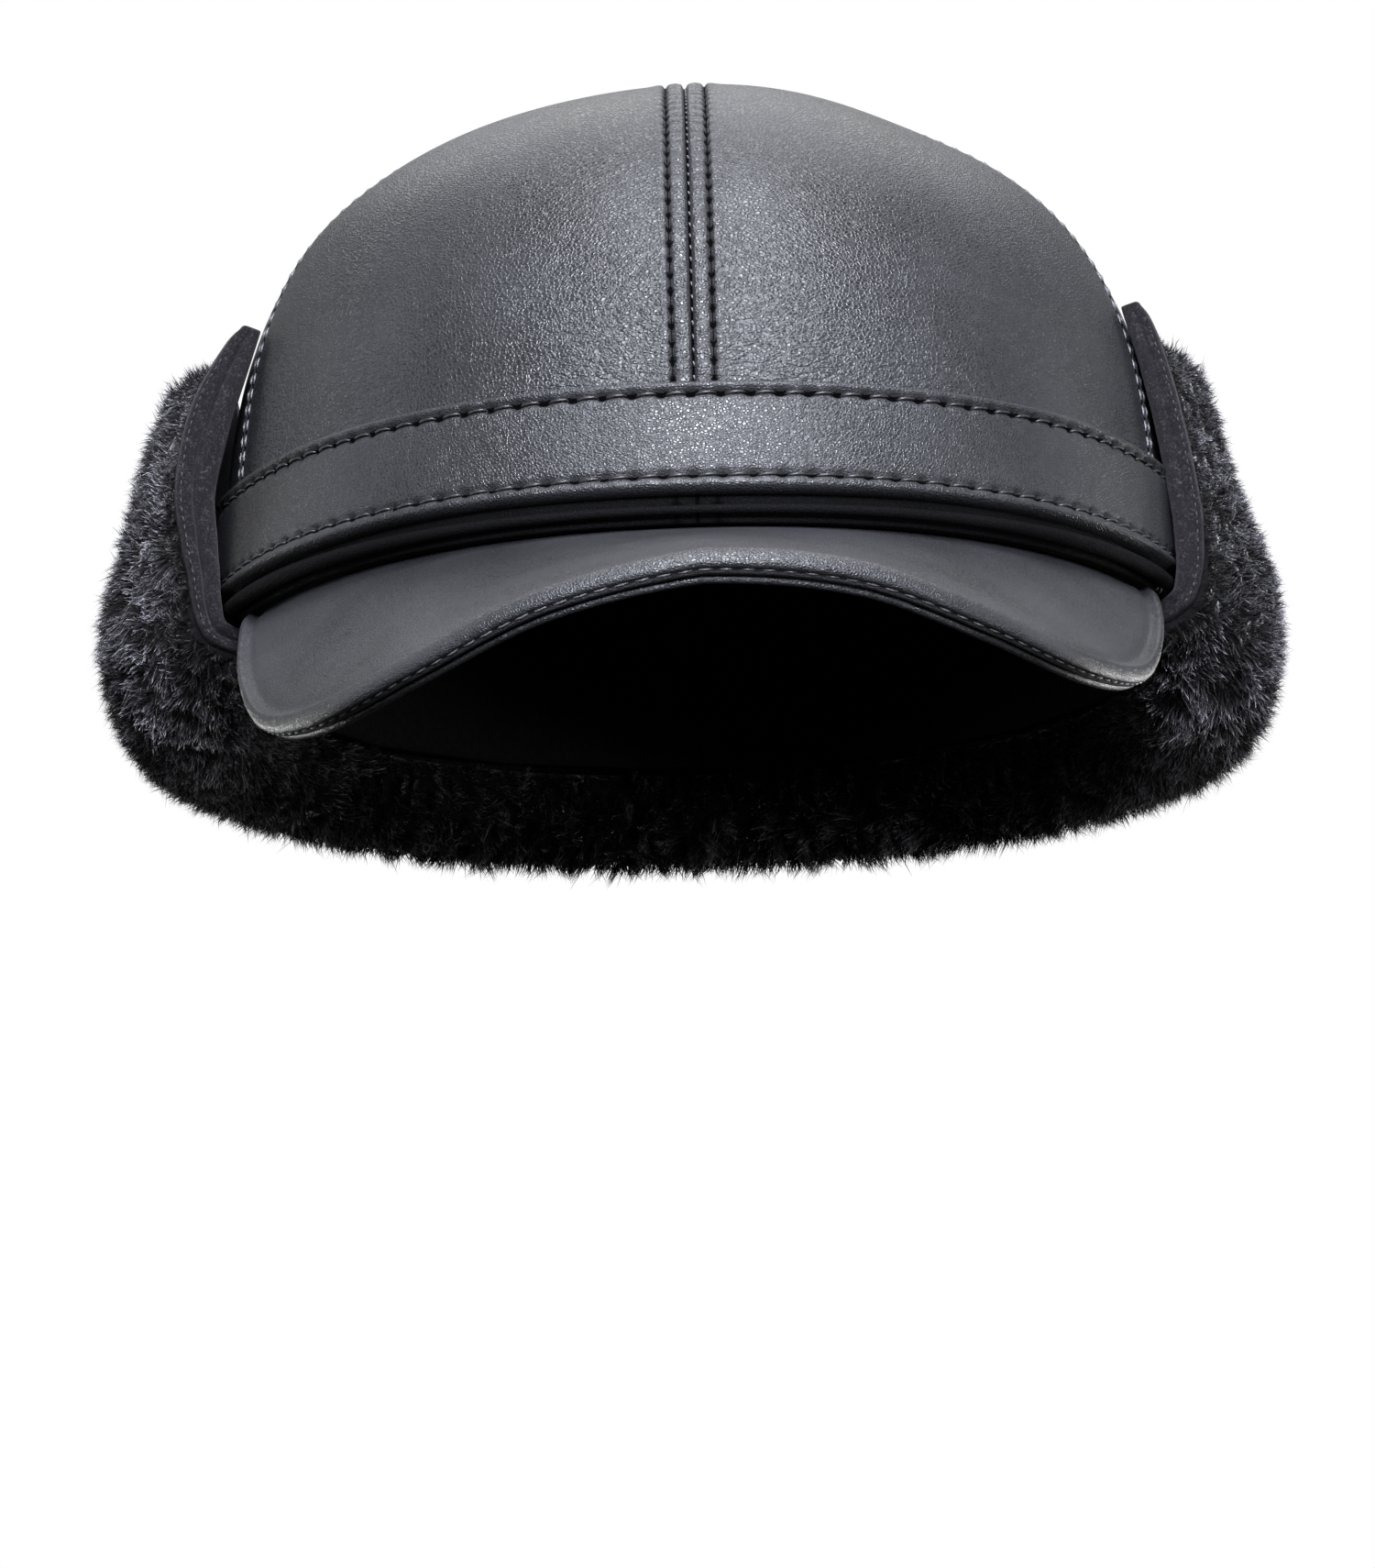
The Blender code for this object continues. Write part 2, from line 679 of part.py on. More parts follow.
def build_cap():
    clear_scene()
    collection = make_collection()
    make_crown(collection)
    make_front_band(collection)
    make_visor_seam_roll(collection)
    make_peak_layer("visor_top", 0.0, PEAK_TOP_THICKNESS, 0.0, PEAK_END_MARGIN, collection)
    make_peak_layer("visor_under", PEAK_TOP_THICKNESS + PEAK_LAYER_GAP, PEAK_UNDER_THICKNESS,
                    PEAK_UNDER_INSET, PEAK_UNDER_END_MARGIN, collection)
    make_flap_cloth(collection)
    make_flap_fur(collection)
    make_flap_binding(-1, "flap_binding_left", collection)
    make_flap_binding(1, "flap_binding_right", collection)


build_cap()
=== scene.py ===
"""Looks of the peaked leather cap with its turned up fur flap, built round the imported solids.

The shapes repeat the formulas of the solids at finer steps, and add what those leave out: seam rolls, stitches,
puckers, grain and pile. The cap faces -Y, +X is on the viewer's right and +Z is up. Azimuths are measured round
the head from the front. Lengths are in metres and angles in radians, unless a name says otherwise.
"""

import math
from collections import namedtuple

import bmesh
import bpy
import numpy as np
from mathutils import Matrix, Vector
from mathutils.bvhtree import BVHTree


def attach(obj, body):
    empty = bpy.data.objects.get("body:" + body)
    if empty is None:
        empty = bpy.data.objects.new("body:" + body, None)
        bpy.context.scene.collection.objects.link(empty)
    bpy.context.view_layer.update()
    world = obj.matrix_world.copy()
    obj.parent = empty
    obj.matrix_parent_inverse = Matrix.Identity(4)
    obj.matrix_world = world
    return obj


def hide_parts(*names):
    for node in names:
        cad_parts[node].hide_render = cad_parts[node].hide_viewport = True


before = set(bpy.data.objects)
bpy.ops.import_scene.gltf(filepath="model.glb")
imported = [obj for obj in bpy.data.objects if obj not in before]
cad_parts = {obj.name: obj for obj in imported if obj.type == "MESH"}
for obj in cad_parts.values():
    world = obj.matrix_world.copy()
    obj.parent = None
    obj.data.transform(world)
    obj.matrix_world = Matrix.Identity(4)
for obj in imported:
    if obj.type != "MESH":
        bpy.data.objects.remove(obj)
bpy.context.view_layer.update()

BODY = "root"

# Crown, as in the solids
CROWN_HALF_WIDTH = 0.0868
CROWN_FRONT_LENGTH = 0.1070
CROWN_BACK_LENGTH = 0.1060
CROWN_HEIGHT = 0.0940
CROWN_WALL = 0.0020
CROWN_PLAN_POWER = 2.12
CROWN_SIDE_POWER = 2.95
CROWN_FRONT_POWER = 2.80
RIDGE_LIFT = 0.0046
RIDGE_REACH = 0.036
HOOP_SEAM_SETBACK = 0.0440
HOOP_SEAM_TOP_SETBACK = 0.0320

# Front band, as in the solids
BAND_HEIGHT = 0.0188
BAND_THICKNESS = 0.0026
BAND_LIFT = 0.0046
BAND_END_AZIMUTH = math.radians(72)
BAND_CLEARANCE = 0.0003

# Roll in the recess, as in the solids
ROLL_RADIUS = 0.0014
ROLL_LIFT = 0.0019
ROLL_END_AZIMUTH = math.radians(66)
ROLL_CLEARANCE = 0.0004

# Peak, as in the solids
PEAK_DEPTH = 0.0590
PEAK_HALF_CHORD = 0.0800
PEAK_ROOT_AZIMUTH = math.radians(64)
PEAK_DROP = 0.0188
PEAK_TWIST = math.radians(3.5)
PEAK_TOP_THICKNESS = 0.0034
PEAK_UNDER_THICKNESS = 0.0014
PEAK_CLEARANCE = 0.0003
PEAK_LAYER_GAP = 0.0004
PEAK_UNDER_INSET = 0.0020
PEAK_CORNER_POWER = 2.3
PEAK_END_MARGIN = 0.012
PEAK_UNDER_END_MARGIN = 0.035

# Ear and neck flap, as in the solids
FLAP_FRONT_AZIMUTH = math.radians(68)
FLAP_STAND = 0.0116
FLAP_DROP = 0.0100
FLAP_HEIGHT = 0.0545
FLAP_TOP_STAND = 0.0032
FLAP_RIGHT_TUCK = 0.0036
FLAP_RIGHT_SINK = 0.0030
FLAP_TUCK_BLEND = 0.2
FLAP_TUCK_TOP_SHARE = 0.6
FLAP_WALL = 0.0016
FLAP_RIM_CLEARANCE = 0.0005
BINDING_WIDTH = 0.0074
BINDING_THICKNESS = 0.0022
BINDING_GAP = 0.0003
BINDING_END_SHARE = 0.35
BINDING_RIM_TAPER = 0.20
BINDING_TIP_TAPER = 0.14
FUR_DEPTH = 0.0105
FUR_FRONT_DEPTH = 0.0052
FUR_FRONT_BLEND = 0.14
FUR_RIM_SHARE = 0.22
FUR_RIM_TAPER = 0.22
FUR_TOP_SHARE = 0.45
FUR_TOP_TAPER = 0.10
FUR_CLEARANCE = 0.0003

# Hollows (negative) and swells (positive) of the front panels, as in the solids, in degrees and metres
Dent = namedtuple("Dent", "azimuth climb azimuth_spread climb_spread depth")
DENTS = (
    Dent(azimuth=46, climb=54, azimuth_spread=20, climb_spread=10, depth=-0.0013),
    Dent(azimuth=34, climb=34, azimuth_spread=20, climb_spread=14, depth=0.0008),
    Dent(azimuth=-30, climb=36, azimuth_spread=22, climb_spread=16, depth=0.0006),
    Dent(azimuth=-58, climb=20, azimuth_spread=10, climb_spread=9, depth=-0.0007),
    Dent(azimuth=56, climb=21, azimuth_spread=10, climb_spread=9, depth=-0.0007),
)

# Fall of the peak's edge from the middle (turn 0) to the temple (turn 1), as a share of PEAK_DROP
PeakRow = namedtuple("PeakRow", "turn drop")
PEAK_ROWS = (
    PeakRow(turn=0.00, drop=1.00),
    PeakRow(turn=0.20, drop=1.18),
    PeakRow(turn=0.40, drop=1.57),
    PeakRow(turn=0.55, drop=1.72),
    PeakRow(turn=0.70, drop=1.50),
    PeakRow(turn=0.85, drop=0.82),
    PeakRow(turn=1.00, drop=0.02),
)

# Flap stations from the front edge to the middle of the back, as shares of the flap's named sizes
FlapRow = namedtuple("FlapRow", "along stand drop height top")
FLAP_ROWS = (
    FlapRow(along=0.00, stand=0.48, drop=0.25, height=1.00, top=0.80),
    FlapRow(along=0.07, stand=0.64, drop=0.45, height=0.99, top=0.85),
    FlapRow(along=0.16, stand=0.85, drop=0.80, height=0.96, top=1.00),
    FlapRow(along=0.28, stand=1.00, drop=0.95, height=0.94, top=1.05),
    FlapRow(along=0.46, stand=0.90, drop=0.88, height=0.91, top=1.10),
    FlapRow(along=0.70, stand=0.75, drop=0.84, height=0.86, top=1.15),
    FlapRow(along=1.00, stand=0.70, drop=0.84, height=0.83, top=1.15),
)

# Line of the flap's cloth in section, from the rim round the fold to the top edge
FlapKnot = namedtuple("FlapKnot", "out down up back")
FLAP_KNOTS = (
    FlapKnot(out=0.00, down=0.00, up=0.00, back=0.00),
    FlapKnot(out=0.16, down=0.66, up=0.00, back=0.00),
    FlapKnot(out=0.50, down=1.00, up=0.00, back=0.00),
    FlapKnot(out=0.86, down=0.62, up=0.00, back=0.00),
    FlapKnot(out=1.00, down=0.00, up=0.12, back=0.00),
    FlapKnot(out=1.00, down=0.00, up=0.42, back=0.28),
    FlapKnot(out=1.00, down=0.00, up=0.74, back=0.62),
    FlapKnot(out=1.00, down=0.00, up=1.00, back=1.00),
)

# Steps of the fine meshes
SEARCH_STEPS = 30
PROBE_STEPS = 240
CROWN_ROWS = 250
LINING_STEP = 5
SEAM_COLUMNS = 26
FIELD_COLUMNS = 30
BAND_COLUMNS = 340
BAND_FACE_STEPS = 46
BAND_BACK_STEPS = 4
ROLL_COLUMNS = 160
ROLL_SIDES = 12
PEAK_FACE_STEPS = 36
PEAK_EDGE_STEPS = 16
PEAK_BACK_STEPS = 5
PEAK_TOP_COLUMNS = 400
PEAK_UNDER_COLUMNS = 160
FLAP_COLUMNS = 200
FLAP_KNOT_SAMPLES = 6
BINDING_FACE_STEPS = 22
BINDING_BACK_STEPS = 4
SLOPE_STEP = 0.004
MERGE_DISTANCE = 0.000002

# Seams pressed into the crown's leather
LOOK_GAP = 0.00006
SEAM_ZONE = 0.0054
SEAM_ZONE_SHARE = 0.36
# Below this height the crown's faces take a near black, dull leather as painted shade of the recess
RECESS_HEIGHT = 0.0055
SEAM_VALLEY_DEPTH = 0.0011
SEAM_VALLEY_REACH = 0.00036
SEAM_ROLL_LIFT = 0.00030
SEAM_ROLL_OUT = 0.0018
SEAM_ROLL_REACH = 0.0011
SEAM_SWELL_LIFT = 0.00018
SEAM_SWELL_OUT = 0.0046
SEAM_SHADE_REACH = 0.00038
HOLE_SHADE_REACH = 0.00105
SEAM_PINCH_REACH = 0.0014
# Faces that lie deeper in a seam than this take the same near black leather as painted shade
DARK_SHADE_LIMIT = 0.56
SEAM_FADE_HEIGHT = 0.0050
SEAM_FADE_REACH = 0.0040
CENTRE_ROW_OUT = 0.00345
ROW_GROOVE_DEPTH = 0.00062
ROW_GROOVE_REACH = 0.00036
ROW_HOLE_DEPTH = 0.00070
ROW_PUCKER = 0.00030
CENTRE_PITCH = 0.0031
HOOP_ROW_OUT = 0.00125
HOOP_VALLEY_DEPTH = 0.0007
HOOP_VALLEY_REACH = 0.00035
HOOP_ROLL_LIFT = 0.00030
HOOP_PITCH = 0.0030
HOOP_FADE = 0.005

# Stitch rows on the band and the peak
BAND_LOW_ROW = 0.145
BAND_HIGH_ROW = 0.868
BAND_PITCH = 0.0048
BAND_EDGE_SHARE = 0.07
BAND_PAD_SHARE = 0.80
BAND_ROLL_REACH = 0.055
BAND_GROOVE_DEPTH = 0.00060
BAND_GROOVE_REACH = 0.020
BAND_HOLE_DEPTH = 0.00115
BAND_HOLE_REACH = 0.036
PEAK_PITCH = 0.0034
PEAK_ROW_TURN = math.radians(122)
PEAK_GROOVE_DEPTH = 0.00045
PEAK_GROOVE_REACH = math.radians(17)
PEAK_BEAD_LIFT = 0.00055
PEAK_BEAD_OUT = 0.0026
PEAK_BEAD_REACH = 0.0013
PEAK_TROUGH_DEPTH = 0.00040
PEAK_TROUGH_OUT = 0.0056
PEAK_TROUGH_REACH = 0.0018
PEAK_WRINKLE_PITCH = 0.0026
PEAK_WRINKLE_DEPTH = 0.00016
PEAK_UNDER_LOOK_INSET = 0.0017

# Roll in the recess: it thins towards the middle
ROLL_MIDDLE_SHARE = 0.55

# Thread
Thread = namedtuple("Thread", "length radius lift slant")
CENTRE_THREAD = Thread(length=0.84, radius=0.00022, lift=0.00026, slant=0.12)
SEAM_THREAD = Thread(length=0.45, radius=0.00016, lift=0.00012, slant=0.30)
HOOP_THREAD = Thread(length=0.84, radius=0.00027, lift=0.00050, slant=0.0)
BAND_THREAD = Thread(length=0.72, radius=0.00026, lift=0.00055, slant=0.09)
PEAK_THREAD = Thread(length=0.84, radius=0.00020, lift=0.00012, slant=0.05)
HEM_THREAD = Thread(length=0.70, radius=0.00012, lift=0.00008, slant=0.0)
SEAM_THREAD_PITCH = 0.0024
HEM_PITCH = 0.0016
HEM_INSET = 0.0009
THREAD_SIDES = 5
THREAD_RINGS = (-0.50, -0.36, 0.0, 0.36, 0.50)
THREAD_SWELL = (0.55, 0.95, 1.0, 0.95, 0.55)
THREAD_DIP = 2.6

# Soft unevenness of the leather: waves for each metre along each axis, and their height
Wave = namedtuple("Wave", "x y z phase height")
LEATHER_WAVES = (
    Wave(x=41, y=23, z=67, phase=0.4, height=0.00022),
    Wave(x=-83, y=31, z=38, phase=2.1, height=0.00014),
    Wave(x=57, y=-71, z=-96, phase=4.4, height=0.00010),
    Wave(x=142, y=64, z=171, phase=1.3, height=0.00004),
)

# Front edges of the flap, from its rim (rank 0) to its tip (rank 1): how far the edge lies further out and up than
# the plain fold, in millimetres, and the strip's width as a share of BINDING_WIDTH
EdgeRow = namedtuple("EdgeRow", "rank left_out left_up left_width right_out right_up right_width")
EDGE_ROWS = (
    EdgeRow(rank=0.00, left_out=0.0, left_up=0.0, left_width=0.58, right_out=0.0, right_up=0.0, right_width=0.50),
    EdgeRow(rank=0.14, left_out=-0.4, left_up=1.2, left_width=0.60, right_out=-0.4, right_up=1.4, right_width=0.52),
    EdgeRow(rank=0.29, left_out=-1.6, left_up=2.8, left_width=0.64, right_out=-1.6, right_up=3.4, right_width=0.56),
    EdgeRow(rank=0.43, left_out=-3.2, left_up=3.6, left_width=0.70, right_out=-3.0, right_up=4.6, right_width=0.62),
    EdgeRow(rank=0.57, left_out=-3.8, left_up=2.8, left_width=0.80, right_out=-3.8, right_up=3.6, right_width=0.72),
    EdgeRow(rank=0.65, left_out=-1.9, left_up=1.2, left_width=0.92, right_out=-2.7, right_up=1.6, right_width=0.76),
    EdgeRow(rank=0.72, left_out=0.4, left_up=0.3, left_width=1.00, right_out=-1.8, right_up=0.4, right_width=0.76),
    EdgeRow(rank=0.80, left_out=0.4, left_up=0.0, left_width=1.10, right_out=-1.2, right_up=0.0, right_width=0.74),
    EdgeRow(rank=0.86, left_out=0.2, left_up=0.0, left_width=1.04, right_out=-0.9, right_up=0.0, right_width=0.72),
    EdgeRow(rank=0.91, left_out=0.0, left_up=0.0, left_width=0.88, right_out=-0.5, right_up=0.0, right_width=0.68),
    EdgeRow(rank=0.96, left_out=0.0, left_up=0.0, left_width=0.68, right_out=-0.2, right_up=0.0, right_width=0.60),
    EdgeRow(rank=1.00, left_out=0.0, left_up=0.0, left_width=0.48, right_out=0.0, right_up=0.0, right_width=0.46),
)
EDGE_BLEND = 0.11

# Section of the strips: a puffed inner half, a crease and a flatter hem
STRIP_EDGE_POWER = 6
STRIP_PUFF = 0.30
STRIP_PUFF_PLACE = -0.45
STRIP_PUFF_REACH = 0.34
STRIP_CREASE_PLACE = 0.10
STRIP_CREASE_REACH = 0.09

# Lumps of the underfur: waves for each metre along each axis
Lump = namedtuple("Lump", "x y z phase")
UNDERFUR_LUMPS = (
    Lump(x=210, y=95, z=240, phase=0.3),
    Lump(x=-170, y=260, z=110, phase=2.4),
    Lump(x=120, y=-230, z=290, phase=4.1),
    Lump(x=-280, y=-140, z=180, phase=1.2),
)

# Pile of the fur
PILE_STRANDS = 180000
PILE_PARTS = 4
PILE_BASE_SHARE = 0.58
PILE_LUMP_SHARE = 0.84
PILE_LENGTH_SPREAD = 0.30
PILE_ROOT_WIDTH = 0.00020
PILE_TIP_REACH = 0.0007
PILE_THIN_DEPTH = 0.0030
TUFT_SIZE = 0.0030
TUFT_PULL = 0.62
TUFT_REACH = 0.0024
TUFT_LOW_SHARE = 0.62
# Tone left to strands in the gaps between tufts, as painted shade
TUFT_GAP_PAINTED_SHADE = 0.12
# Tone left to strands at the flap's front edges beside the strips, as painted shade
FRONT_PAINTED_SHADE = 0.50
FRONT_PAINTED_SHADE_REACH = 0.022
TUFT_LEAN = 0.45
STRAY_SHARE = 0.05
STRAY_REACH = 0.0010
PATCH_SIZE = 0.0105
PATCH_LEAN = 0.26
STRAND_LEAN = 0.13
STRAND_CURL = 0.10
PILE_SAG = 0.06
PILE_SEED = 20517
FUR_FRONT_CUT = 0.075
FUR_FRONT_CUT_REACH = 0.17
FUR_FRONT_END_SHARE = 0.10
FUR_FRONT_END_TAPER = 0.035
FUR_LEFT_TRIM = 0.22
FUR_LEFT_TRIM_RANK = 0.32
FUR_LEFT_TRIM_REACH = 0.17
FUR_RIGHT_TRIM = 0.26
FUR_RIGHT_TRIM_RANK = 0.80
FUR_RIGHT_TRIM_REACH = 0.16

# Camera: the photograph's long lens, a little below the cap and turned by a degree or two
CAMERA_DISTANCE = 1.0
CAMERA_PITCH = math.radians(10.8)
CAMERA_ROLL = math.radians(1.6)
CAMERA_TARGET = Vector((-0.0029, 0.0, -0.0232))
FRAME_HEIGHT = 1710
FOCAL_PIXELS = 5980
SENSOR_HEIGHT = 36.0

# Stage
FLOOR_HEIGHT = -0.32
FLOOR_SIZE = 9.0


def unit(vectors):
    return vectors / np.linalg.norm(vectors, axis=-1, keepdims=True)


def spread(count):
    """Shares from 0 to 1 in even steps."""
    return np.linspace(0.0, 1.0, count + 1)


def bump(distance, reach):
    """Bell shape that is 1 at no distance."""
    return np.exp(-((distance / reach) ** 2))


def smooth_step(share):
    share = np.clip(share, 0.0, 1.0)
    return share * share * (3 - 2 * share)


def rounded_rise(share, start):
    """Rise from a start value to 1 that bends over like a quarter circle, then holds."""
    return start + (1 - start) * np.sin(np.pi / 2 * np.clip(share, 0.0, 1.0))


def holes(run, pitch):
    """Narrow peaks of 1 at each needle hole along a seam."""
    return (0.5 + 0.5 * np.cos(2 * np.pi * run / pitch)) ** 3


def last_before(is_before, high):
    """Largest values under high for which is_before still holds, found by halving."""
    low = np.zeros_like(high)
    for _ in range(SEARCH_STEPS):
        middle = (low + high) / 2
        before = is_before(middle)
        low = np.where(before, middle, low)
        high = np.where(before, high, middle)
    return low


def smooth_between(values, position):
    """Values at positions along a list of values, on a smooth curve through them."""
    values = np.asarray(values, float)
    last = len(values) - 1
    index = np.clip(np.floor(position).astype(int), 0, last - 1)
    share = position - index
    before = values[np.maximum(index - 1, 0)]
    start = values[index]
    end = values[index + 1]
    after = values[np.minimum(index + 2, last)]
    return 0.5 * (
        2 * start
        + (end - before) * share
        + (2 * before - 5 * start + 4 * end - after) * share ** 2
        + (3 * start - before - 3 * end + after) * share ** 3
    )


def table_value(rows, key, column, position):
    """Values of a column on a smooth curve through the rows of a table."""
    keys = np.array([getattr(row, key) for row in rows])
    index = np.clip(np.searchsorted(keys, position) - 1, 0, len(keys) - 2)
    share = index + (position - keys[index]) / (keys[index + 1] - keys[index])
    return smooth_between([getattr(row, column) for row in rows], share)


def run_lengths(points):
    """Distance run along a line of points, from its first one."""
    steps = np.linalg.norm(np.diff(points, axis=0), axis=-1)
    return np.concatenate([[0.0], np.cumsum(steps)])


def plan_outline(azimuth, offset=0.0):
    """Points of the crown's rim line in plan, moved outward by offset along its normal."""
    azimuth = np.asarray(azimuth, float)
    return plan_rim(azimuth) + plan_normal(azimuth) * np.asarray(offset, float)[..., None]


def plan_rim(azimuth):
    length = np.where(np.cos(azimuth) > 0, CROWN_FRONT_LENGTH, CROWN_BACK_LENGTH)
    across = np.sin(azimuth)
    ahead = -np.cos(azimuth)
    power = CROWN_PLAN_POWER
    reach = (np.abs(across) ** power + np.abs(ahead) ** power) ** (-1 / power)
    return np.stack([CROWN_HALF_WIDTH * across * reach, length * ahead * reach, np.zeros_like(reach)], axis=-1)


def plan_normal(azimuth):
    rim = plan_rim(azimuth)
    length = np.where(np.cos(azimuth) > 0, CROWN_FRONT_LENGTH, CROWN_BACK_LENGTH)
    half_sizes = np.stack([np.full_like(length, CROWN_HALF_WIDTH), length, np.ones_like(length)], axis=-1)
    slope = np.sign(rim) * np.abs(rim / half_sizes) ** (CROWN_PLAN_POWER - 1) / half_sizes
    return unit(slope)


def outward_at(point):
    """Direction straight out of the crown, near a point of its face."""
    half_sizes = np.array([CROWN_HALF_WIDTH, CROWN_FRONT_LENGTH, CROWN_HEIGHT])
    return unit(point / half_sizes ** 2)


def relief(azimuth, climb):
    """Height of the ridge, the hollows and the swells over the plain dome."""
    across = CROWN_HALF_WIDTH * np.sin(azimuth) * np.cos(climb)
    lift = RIDGE_LIFT * bump(across, RIDGE_REACH) * np.sin(climb) ** 2
    for dent in DENTS:
        sideways = (np.degrees(azimuth) - dent.azimuth) / dent.azimuth_spread
        upward = (np.degrees(climb) - dent.climb) / dent.climb_spread
        lift = lift + dent.depth * np.exp(-(sideways ** 2) - upward ** 2)
    return lift


def crown_point(azimuth, climb, offset=0.0):
    """Points of the crown's outer face; climb runs from 0 at the rim to a right angle at the top."""
    azimuth, climb, offset = np.broadcast_arrays(
        np.asarray(azimuth, float), np.asarray(climb, float), np.asarray(offset, float)
    )
    power = CROWN_FRONT_POWER + (CROWN_SIDE_POWER - CROWN_FRONT_POWER) * np.sin(azimuth) ** 2
    level = np.cos(climb).clip(0.0)
    rise = np.sin(climb)
    reach = (level ** power + rise ** power) ** (-1 / power)
    point = plan_rim(azimuth) * (level * reach)[..., None]
    point[..., 2] = CROWN_HEIGHT * rise * reach
    return point + outward_at(point) * (relief(azimuth, climb) + offset)[..., None]


def climb_at_height(azimuth, height):
    """Climbs at which the crown's face reaches a height."""
    azimuth, height = np.broadcast_arrays(np.asarray(azimuth, float), np.asarray(height, float))
    return last_before(
        lambda climb: crown_point(azimuth, climb)[..., 2] < height,
        np.full(azimuth.shape, np.pi / 2),
    )


def crown_out(azimuth, height):
    """How far the crown's face stands out from the rim line at a height; it leans in, so this is negative."""
    face = crown_point(azimuth, climb_at_height(azimuth, height))
    return np.sum((face - plan_rim(azimuth)) * plan_normal(azimuth), axis=-1)


def hoop_seam_y(height):
    """Place of the hoop seam from front to back at a height."""
    rise = height / CROWN_HEIGHT
    return -(HOOP_SEAM_SETBACK + (HOOP_SEAM_TOP_SETBACK - HOOP_SEAM_SETBACK) * rise)


def hoop_azimuth(climb, shift=0.0):
    """Azimuths at which the hoop seam crosses climbs, or 0 above the place where it meets the centre seam."""

    def is_in_front(azimuth):
        point = crown_point(azimuth, climb)
        return point[..., 1] < hoop_seam_y(point[..., 2]) + shift

    return last_before(is_in_front, np.full(np.shape(climb), np.pi))


def centre_seam_azimuth(climb):
    width = np.maximum(CROWN_HALF_WIDTH * np.cos(climb), LOOK_GAP / 2)
    return np.arcsin(np.clip(LOOK_GAP / 2 / width, 0.0, 1.0))


def seams_meet(shift):
    """Climb at which the hoop seam, moved by a shift, meets the centre seam."""
    return last_before(
        lambda climb: hoop_azimuth(climb, shift) > centre_seam_azimuth(climb),
        np.full(1, np.pi / 2),
    )[0]


def centre_line():
    """Angles over the crown from its front rim to its back rim, and the distance run along the middle there."""
    climbs = np.pi / 2 * spread(PROBE_STEPS)
    front = crown_point(0.0, climbs)
    back = crown_point(np.pi, climbs[::-1])
    line = np.concatenate([front, back[1:]])
    return np.arctan2(line[:, 2], -line[:, 1]), run_lengths(line)


def hoop_line():
    """Angles over the crown from its right to its left rim along the hoop seam, the distance run, and its Y."""
    climbs = seams_meet(0.0) * spread(PROBE_STEPS)
    azimuths = hoop_azimuth(climbs)
    right = crown_point(azimuths, climbs)
    left = crown_point(-azimuths, climbs)[::-1]
    line = np.concatenate([right, left[1:]])
    return np.arctan2(line[:, 2], line[:, 0]), run_lengths(line), line[:, 1]


CENTRE_ANGLES, CENTRE_RUNS = centre_line()
HOOP_ANGLES, HOOP_RUNS, HOOP_YS = hoop_line()


def leather_waves(point):
    """Soft uneven height of stretched leather."""
    height = np.zeros(point.shape[:-1])
    for wave in LEATHER_WAVES:
        way = np.array([wave.x, wave.y, wave.z])
        height = height + wave.height * np.sin(point @ way + wave.phase)
    return height


def seam_painted_shade(from_line, from_row, pricks):
    """How deep a place lies in a seam line or a stitched row, from 0 to 1, most at the needle holes; it darkens the
    leather as painted shade.
    """
    line = bump(from_line, SEAM_SHADE_REACH)
    row = 0.70 * bump(from_row, SEAM_SHADE_REACH)
    pinch = 0.5 * pricks * bump(from_row, SEAM_PINCH_REACH)
    return np.maximum(np.maximum(line, row), np.maximum(pinch, pricks * bump(from_row, HOLE_SHADE_REACH)))


def centre_seam(point):
    """Lift of the seam line, its rolls and its stitched rows along the crown's middle, and how deep in they lie as
    painted shade.
    """
    aside = np.abs(point[..., 0])
    run = np.interp(np.arctan2(point[..., 2], -point[..., 1]), CENTRE_ANGLES, CENTRE_RUNS)
    pricks = holes(run, CENTRE_PITCH)
    valley = bump(aside, SEAM_VALLEY_REACH)
    row = bump(aside - CENTRE_ROW_OUT, ROW_GROOVE_REACH)
    roll = bump(aside - SEAM_ROLL_OUT, SEAM_ROLL_REACH)
    lift = (SEAM_ROLL_LIFT - ROW_PUCKER * pricks) * roll
    lift = lift + SEAM_SWELL_LIFT * bump(aside - SEAM_SWELL_OUT, SEAM_ROLL_REACH)
    lift = lift - SEAM_VALLEY_DEPTH * valley - (ROW_GROOVE_DEPTH + ROW_HOLE_DEPTH * pricks) * row
    return lift, seam_painted_shade(aside, aside - CENTRE_ROW_OUT, pricks)


def hoop_seam(point):
    """Lift of the seam line and its two close stitched rows from ear to ear, and how deep in they lie as painted
    shade.
    """
    aside = np.abs(point[..., 1] - hoop_seam_y(point[..., 2]))
    run = np.interp(np.arctan2(point[..., 2], point[..., 0]), HOOP_ANGLES, HOOP_RUNS)
    pricks = holes(run, HOOP_PITCH)
    valley = bump(aside, HOOP_VALLEY_REACH)
    row = bump(aside - HOOP_ROW_OUT, ROW_GROOVE_REACH)
    lift = HOOP_ROLL_LIFT * bump(aside, 2 * HOOP_ROW_OUT)
    lift = lift - HOOP_VALLEY_DEPTH * valley - (ROW_GROOVE_DEPTH + ROW_HOLE_DEPTH * pricks) / 2 * row
    fade = smooth_step(np.abs(point[..., 0]) / HOOP_FADE)
    return lift * fade, seam_painted_shade(aside, aside - HOOP_ROW_OUT, pricks) * fade


